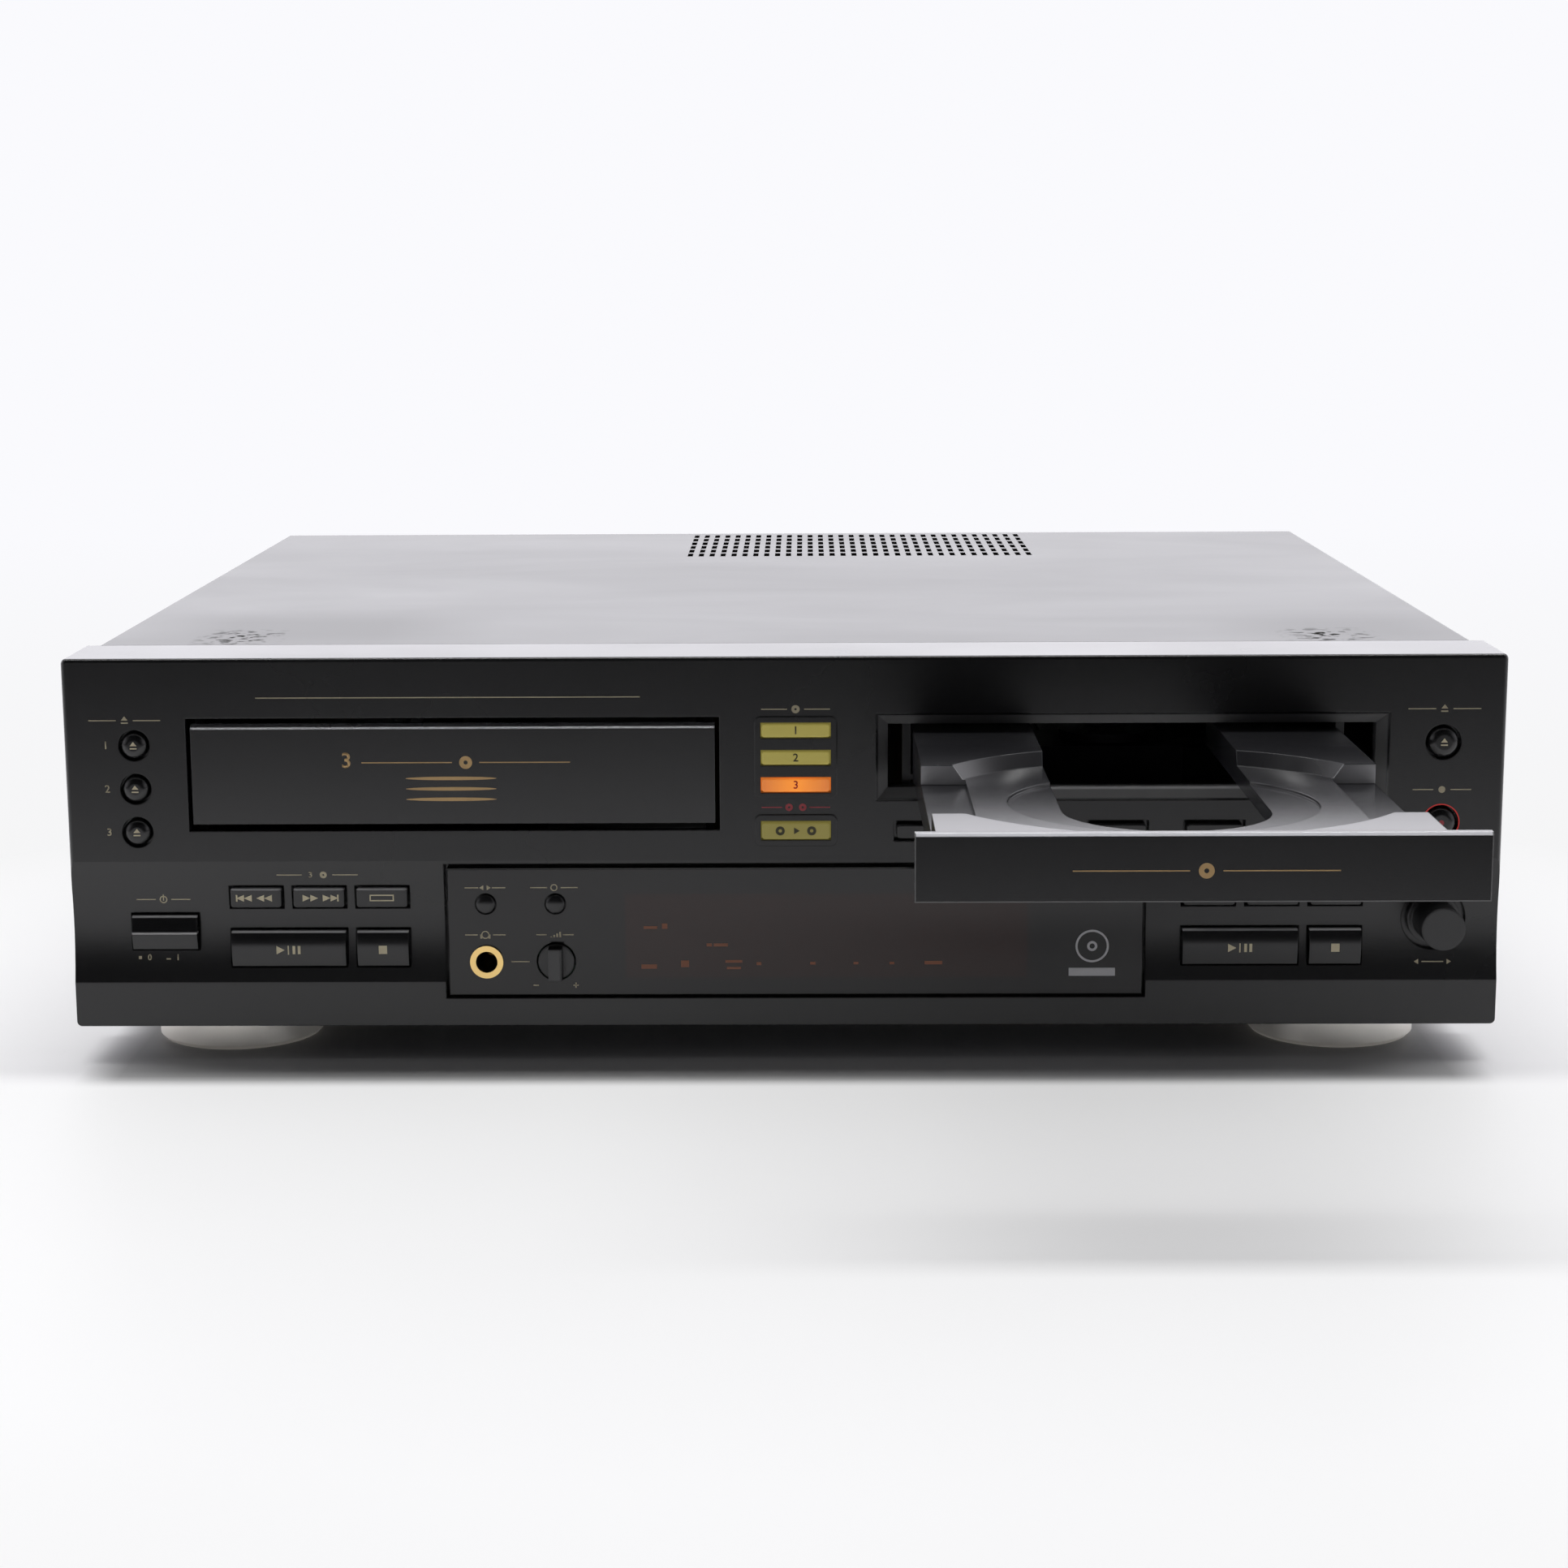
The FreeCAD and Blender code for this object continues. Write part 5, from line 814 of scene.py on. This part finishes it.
def open_marks():
    """Eject symbols on the open keys with numerals beside them, and the record key's dot."""
    for number in ("1", "2", "3"):
        name = "open_key_" + number
        x, z = middle_of(name)
        mark("open_mark_" + number, name, "key_legend", eject_shapes(x, face_of(name), z))
        mark("open_number_" + number, "case", "legend",
             [numeral(number, OPEN_NUMBER_X, FACE, z, OPEN_NUMBER_TALL)])
    x, z = middle_of("recorder_open_key")
    mark("recorder_open_mark", "recorder_open_key", "key_legend",
         eject_shapes(x, face_of("recorder_open_key"), z))
    x, z = middle_of("record_mute_key")
    mark("record_mark", "record_mute_key", "red_legend",
         [flat_shape(DOT_CORNERS, x, face_of("record_mute_key"), z, RECORD_DOT, RECORD_DOT)])


BAR_NUMBER_TALL = 2.3
COPY_REACH, COPY_OUTER, COPY_INNER = 4.6, 1.35, 0.5
COPY_ARROW_WIDE, COPY_ARROW_TALL = 1.7, 2.0


def bar_marks():
    """Numerals on the disc bars, and disc to disc on the copy bar."""
    for number in ("1", "2", "3"):
        name = "disc_bar_" + number
        x, z = middle_of(name)
        paint = "lit_legend" if number == "3" else "bar_legend"
        mark("disc_number_" + number, name, paint,
             [numeral(number, x, face_of(name), z, BAR_NUMBER_TALL)])
    x, z = middle_of("copy_bar")
    y = face_of("copy_bar")
    mark("copy_mark", "copy_bar", "bar_legend",
         [ring(x - COPY_REACH, y, z, COPY_OUTER, COPY_INNER),
          triangle(x, y, z, COPY_ARROW_WIDE, COPY_ARROW_TALL, "right"),
          ring(x + COPY_REACH, y, z, COPY_OUTER, COPY_INNER)])


# ---- marks on the panel: places in panel millimetres ----

RULE = 0.3


def ruled(x, y, z, width, gap, centre):
    """A symbol between two fine rules."""
    run = (width - gap) / 2
    reach = (width + gap) / 4
    return centre + [bar(x - reach, y, z, run, RULE), bar(x + reach, y, z, run, RULE)]


# The columns and rows that the labels stand in.
FACE = 0.0
LEFT_KEYS, POWER, CHANGER_KEYS, DISC_BARS = -191.9, -183.1, -137.2, 3.85
RECORDER_KEYS, JOG, RIGHT_KEYS = 143.7, 191.2, 191.9
TOP_RULE_X, TOP_RULE_Z, TOP_RULE_WIDTH = -97.4, 98.4, 112.0
SELECT_Z, COPY_Z, OPEN_Z, RECORDER_OPEN_Z = 94.6, 65.6, 91.9, 94.1
RECORD_Z, RECORD_KEY_Z, KEYS_Z, POWER_Z, OFF_ON_Z, JOG_Z = 70.3, 60.6, 45.6, 38.1, 20.6, 18.6
RECORD_LABEL_DOT, COPY_APART = 2.0, 2.0


def panel_marks():
    """The plain rule over the changer, and a symbol over each group of keys."""
    mark("panel_rule", "case", "legend",
         [bar(TOP_RULE_X, FACE, TOP_RULE_Z, TOP_RULE_WIDTH, RULE)])
    mark("select_label", "case", "legend",
         ruled(DISC_BARS, FACE, SELECT_Z, width=20.0, gap=5.0,
               centre=[ring(DISC_BARS, FACE, SELECT_Z, outer=1.2, inner=0.35)]))
    mark("copy_label", "case", "red_legend",
         ruled(DISC_BARS, FACE, COPY_Z, width=20.0, gap=8.0,
               centre=[ring(DISC_BARS + across, FACE, COPY_Z, outer=1.1, inner=0.35)
                       for across in (-COPY_APART, COPY_APART)]))
    for name, x, z in (("open_label", LEFT_KEYS, OPEN_Z),
                       ("recorder_open_label", RIGHT_KEYS, RECORDER_OPEN_Z)):
        mark(name, "case", "legend",
             ruled(x, FACE, z, width=21.0, gap=5.0, centre=eject_shapes(x, FACE, z)))
    dot = flat_shape(DOT_CORNERS, RIGHT_KEYS, FACE, RECORD_Z, RECORD_LABEL_DOT, RECORD_LABEL_DOT)
    mark("record_label", "case", "legend",
         ruled(RIGHT_KEYS, FACE, RECORD_Z, width=17.0, gap=5.0, centre=[dot]))


POWER_STROKE = ((0, 0.6, 0.35, 1.9),)
OFF_DOT, ON_DASH = ((-7.5, 0, 0.9, 0.9),), ((0.9, -0.4, 1.3, 0.4),)
OFF_X, ON_X, SMALL_NUMERAL = -187.8, -179.4, 1.7
THREE_LEFT, THREE_DISC = 2.0, 1.8
JOG_REACH, JOG_LINE, JOG_ARROW = 4.6, 6.4, (1.3, 1.5)


def cove_marks():
    """The marks on the panel's hollow face, round the power key, the keys and the jog knob."""
    mark("power_label", "case", "legend",
         on_cove(ruled(POWER, FACE, POWER_Z, width=16.0, gap=4.6,
                       centre=[ring(POWER, FACE, POWER_Z, outer=1.15, inner=0.8)]
                       + bars(POWER, FACE, POWER_Z, POWER_STROKE))))
    mark("power_words", "case", "legend",
         on_cove(bars(POWER, FACE, OFF_ON_Z, OFF_DOT)
                 + [numeral("0", OFF_X, FACE, OFF_ON_Z, SMALL_NUMERAL)]
                 + bars(POWER, FACE, OFF_ON_Z, ON_DASH)
                 + [numeral("1", ON_X, FACE, OFF_ON_Z, SMALL_NUMERAL)]))
    mark("changer_label", "case", "legend",
         on_cove(ruled(CHANGER_KEYS, FACE, KEYS_Z, width=24.0, gap=9.0,
                       centre=[numeral("3", CHANGER_KEYS - THREE_LEFT, FACE, KEYS_Z,
                                       SMALL_NUMERAL),
                               ring(CHANGER_KEYS + THREE_DISC, FACE, KEYS_Z, outer=1.05,
                                    inner=0.3)])))
    mark("recorder_label", "case", "legend",
         on_cove(ruled(RECORDER_KEYS, FACE, KEYS_Z, width=24.0, gap=6.0,
                       centre=[ring(RECORDER_KEYS, FACE, KEYS_Z, outer=1.05, inner=0.3)])))
    mark("jog_label", "case", "legend",
         on_cove([triangle(JOG - JOG_REACH, FACE, JOG_Z, *JOG_ARROW, "left"),
                  bar(JOG, FACE, JOG_Z, JOG_LINE, RULE),
                  triangle(JOG + JOG_REACH, FACE, JOG_Z, *JOG_ARROW, "right")]))


def record_ring():
    """The red ring round the record mute key."""
    mark("record_ring", "case", "red_ring",
         [ring(RIGHT_KEYS, FACE, RECORD_KEY_Z, outer=5.5, inner=5.15)])


COVE_MIDDLE = 31.55
COVE_RADIUS = 76.8
COVE_DEPTH = 2.2


def on_cove(shapes):
    """Sets flat marks back onto the panel's hollow face."""
    for shape in shapes:
        for vertex in shape.data.vertices:
            up = (vertex.co.z + shape.location.z) / MM - PANEL_Z - COVE_MIDDLE
            back = math.sqrt(COVE_RADIUS ** 2 - up ** 2) - COVE_RADIUS + COVE_DEPTH
            vertex.co.y += back * MM
    return shapes


# ---- marks on the window ----

WINDOW_FACE = -1.0
RANDOM, PHONES, LEVEL = -87.6, -87.8, -67.3
SMALL_KEYS_Z, CONTROLS_Z, SIGNS_Z = 42.0, 27.8, 12.5
RANDOM_REACH, RANDOM_ARROW = 0.9, (1.2, 1.5)
EARPIECES = ((-1.2, -0.5, 0.6, 1.2), (1.2, -0.5, 0.6, 1.2))
LEVEL_STEPS = ((-1.1, -0.62, 0.5, 0.26), (-0.2, -0.4, 0.5, 0.7),
               (0.7, -0.18, 0.5, 1.14), (1.6, 0.04, 0.5, 1.58))
MINUS_AND_PLUS = ((-5.8, 0, 1.6, 0.35), (6.0, 0, 1.6, 0.35), (6.0, 0, 0.35, 1.6))
PHONES_RULE_X, PHONES_RULE_Z, PHONES_RULE_WIDTH = -77.6, 19.7, 5.4


def window_marks():
    """Symbols for the small keys, the headphone socket and the level knob."""
    y = WINDOW_FACE
    arrows = [triangle(RANDOM + side * RANDOM_REACH, y, SMALL_KEYS_Z, *RANDOM_ARROW, way)
              for side, way in ((-1, "left"), (1, "right"))]
    mark("random_label", "case", "legend",
         ruled(RANDOM, y, SMALL_KEYS_Z, width=12.0, gap=4.0, centre=arrows))
    mark("play_mode_label", "case", "legend",
         ruled(LEVEL, y, SMALL_KEYS_Z, width=14.0, gap=4.0,
               centre=[ring(LEVEL, y, SMALL_KEYS_Z, outer=1.05, inner=0.75)]))
    band = ring(PHONES, y, CONTROLS_Z, outer=1.2, inner=0.9)
    mark("phones_label", "case", "legend",
         ruled(PHONES, y, CONTROLS_Z, width=12.0, gap=4.6,
               centre=[band] + bars(PHONES, y, CONTROLS_Z, EARPIECES)))
    mark("level_label", "case", "legend",
         ruled(LEVEL, y, CONTROLS_Z, width=11.0, gap=4.8,
               centre=bars(LEVEL, y, CONTROLS_Z, LEVEL_STEPS)))
    mark("level_signs", "case", "legend", bars(LEVEL, y, SIGNS_Z, MINUS_AND_PLUS))
    mark("phones_to_level", "case", "legend",
         [bar(PHONES_RULE_X, y, PHONES_RULE_Z, PHONES_RULE_WIDTH, RULE)])


# Across, up, width and height of each segment of the display.
SEGMENTS = ((-39.1, 29.9, 4.0, 0.8), (-34.9, 30.3, 1.6, 1.6), (-39.6, 18.1, 4.6, 1.3),
            (-29.0, 18.9, 2.4, 2.0), (-18.4, 24.6, 4.2, 0.9), (-21.8, 24.6, 1.6, 0.9),
            (-14.6, 19.6, 5.0, 0.8), (-14.6, 17.6, 4.2, 0.7), (-7.2, 18.9, 1.4, 0.9),
            (8.7, 19.0, 1.6, 0.8), (21.4, 19.0, 1.4, 0.7), (32.0, 19.0, 1.4, 0.7),
            (44.2, 19.1, 5.2, 1.0))


def display_marks():
    """The few faint segments that show in the unlit display."""
    mark("display_segments", "case", "segment", bars(0, WINDOW_FACE, 0, SEGMENTS))


PICTOGRAM_X, PICTOGRAM_Z = 90.85, 24.0
PICTOGRAM_BAR = ((0, -7.8, 13.6, 2.4),)


def disc_pictogram():
    """A plain disc over a bar, in the corner of the window."""
    mark("disc_pictogram", "case", "grey_legend",
         [ring(PICTOGRAM_X, WINDOW_FACE, PICTOGRAM_Z, outer=4.9, inner=4.3),
          ring(PICTOGRAM_X, WINDOW_FACE, PICTOGRAM_Z, outer=1.5, inner=0.8)]
         + bars(PICTOGRAM_X, WINDOW_FACE, PICTOGRAM_Z, PICTOGRAM_BAR))


# ---- marks on the doors ----

STRIPE_X, STRIPES_Z = -96.9, (74.5, 71.4, 68.3)
STRIPE_WIDE, STRIPE_TALL, STRIPE_CORNERS = 26.6, 1.05, 32
DOOR_NUMBER_X, DOOR_NUMBER_Z, DOOR_NUMBER_TALL = -127.4, 79.7, 4.4
CHANGER_RULE_X, CHANGER_RULE_Z, CHANGER_RULE_WIDTH = -92.5, 79.2, 61.0
RECORDER_RULE_X, RECORDER_RULE_Z, RECORDER_RULE_WIDTH = 102.6, 79.9, 64.0
DOOR_GAP, DOOR_RING = 8.0, (1.9, 0.6)


def door_marks():
    """Golden stripes, a numeral and a ruled disc on the doors."""
    y = face_of("changer_door", 0.0)
    for i, z in enumerate(STRIPES_Z):
        mark("changer_stripe_%d" % (i + 1), "changer_drawer", "gold_legend",
             [flat_shape(STRIPE_CORNERS, STRIPE_X, y, z, STRIPE_WIDE, STRIPE_TALL)])
    mark("changer_door_rule", "changer_drawer", "gold_legend",
         [numeral("3", DOOR_NUMBER_X, y, DOOR_NUMBER_Z, DOOR_NUMBER_TALL)]
         + ruled(CHANGER_RULE_X, y, CHANGER_RULE_Z, CHANGER_RULE_WIDTH, DOOR_GAP,
                 [ring(CHANGER_RULE_X, y, CHANGER_RULE_Z, *DOOR_RING)]))
    y = face_of("recorder_door", 0.0)
    mark("recorder_door_rule", "recorder_tray", "gold_legend",
         ruled(RECORDER_RULE_X, y, RECORDER_RULE_Z, RECORDER_RULE_WIDTH, DOOR_GAP,
               [ring(RECORDER_RULE_X, y, RECORDER_RULE_Z, *DOOR_RING)]))


# ---- small pieces ----

SCREW_UP, SIDE_SCREW_X, SIDE_SCREWS_Y = 9.0, 207.3, (56.3, 344.0)
REAR_SCREW_Y, REAR_SCREWS_X = 371.6, range(-160, 161, 80)
CROSS_ARM, CROSS_SLOT, CROSS_DEPTH = 2.6, 0.55, 0.1


def screw_crosses():
    """The cross recess in each screw's head, drawn as a near-black film of painted shade."""
    heads = [(x, y, True) for y in SIDE_SCREWS_Y for x in (SIDE_SCREW_X, -SIDE_SCREW_X)]
    heads += [(x, REAR_SCREW_Y, False) for x in REAR_SCREWS_X]
    deselect()
    shapes = []
    for x, y, sideways in heads:
        for wide, tall in ((CROSS_ARM, CROSS_SLOT), (CROSS_SLOT, CROSS_ARM)):
            size = (CROSS_DEPTH, wide, tall) if sideways else (wide, CROSS_DEPTH, tall)
            bpy.ops.mesh.primitive_cube_add(size=1.0, location=place(x, y, SCREW_UP),
                                            scale=[side * MM for side in size])
            shapes.append(bpy.context.object)
    mark("screw_recesses", "case", "dark_gap", shapes)


JACK_ROWS = (("white_jack", 44.0), ("red_jack", 26.0))
JACK_START, JACK_STEP, JACK_COUNT, JACK_END = 20.0, 18.0, 5, 380.4
INSERT_RADIUS, INSERT_THICK = 2.9, 0.75


def jack_inserts():
    """Red and white insulating rings in the mouths of the rear jacks."""
    for paint, z in JACK_ROWS:
        shapes = []
        for i in range(JACK_COUNT):
            deselect()
            bpy.ops.mesh.primitive_torus_add(
                location=place(JACK_START + JACK_STEP * i, JACK_END, z),
                rotation=(math.pi / 2, 0, 0), major_radius=INSERT_RADIUS * MM,
                minor_radius=INSERT_THICK * MM, major_segments=28, minor_segments=10)
            shapes.append(bpy.context.object)
        mark(paint + "_inserts", "case", paint, shapes)


def dome(name, body, paint, spot, radius, rings, scale):
    """A flattened ball, sunk halfway into the piece that carries it."""
    deselect()
    bpy.ops.mesh.primitive_uv_sphere_add(segments=2 * rings, ring_count=rings,
                                         radius=radius * MM, location=spot, scale=scale)
    bpy.ops.object.shade_smooth()
    settle(bpy.context.object, name, body, paint)


KEY_DOME, KEY_DOME_BACK, KEY_DOME_FLAT = 2.85, 0.03, 0.32
LENS_DOME, LENS_FLAT = 2.6, 0.28


def domes():
    """The heads of the two small round keys in the window, and a lens on each pickup."""
    for name in ("random_key", "play_mode_key"):
        low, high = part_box(name)
        dome(name.replace("_key", "_dome"), name, "key",
             ((low[0] + high[0]) / 2, low[1] + KEY_DOME_BACK * MM, (low[2] + high[2]) / 2),
             KEY_DOME, rings=16, scale=(1, KEY_DOME_FLAT, 1))
    for side in SIDES:
        pickup = side + "_pickup"
        low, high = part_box(pickup)
        dome(side + "_lens", pickup, "lens",
             ((low[0] + high[0]) / 2, (low[1] + high[1]) / 2, high[2]),
             LENS_DOME, rings=12, scale=(1, 1, LENS_FLAT))


def build():
    bpy.context.scene.view_settings.view_transform = "Standard"
    add_camera()
    add_world()
    for lamp in LAMPS:
        add_lamp(*lamp)
    add_stage()
    paint_nodes()
    wear_tint_and_painted_light()
    light_bar()
    key_marks()
    skip_marks()
    open_marks()
    bar_marks()
    panel_marks()
    cove_marks()
    record_ring()
    window_marks()
    display_marks()
    disc_pictogram()
    door_marks()
    screw_crosses()
    jack_inserts()
    domes()


build()
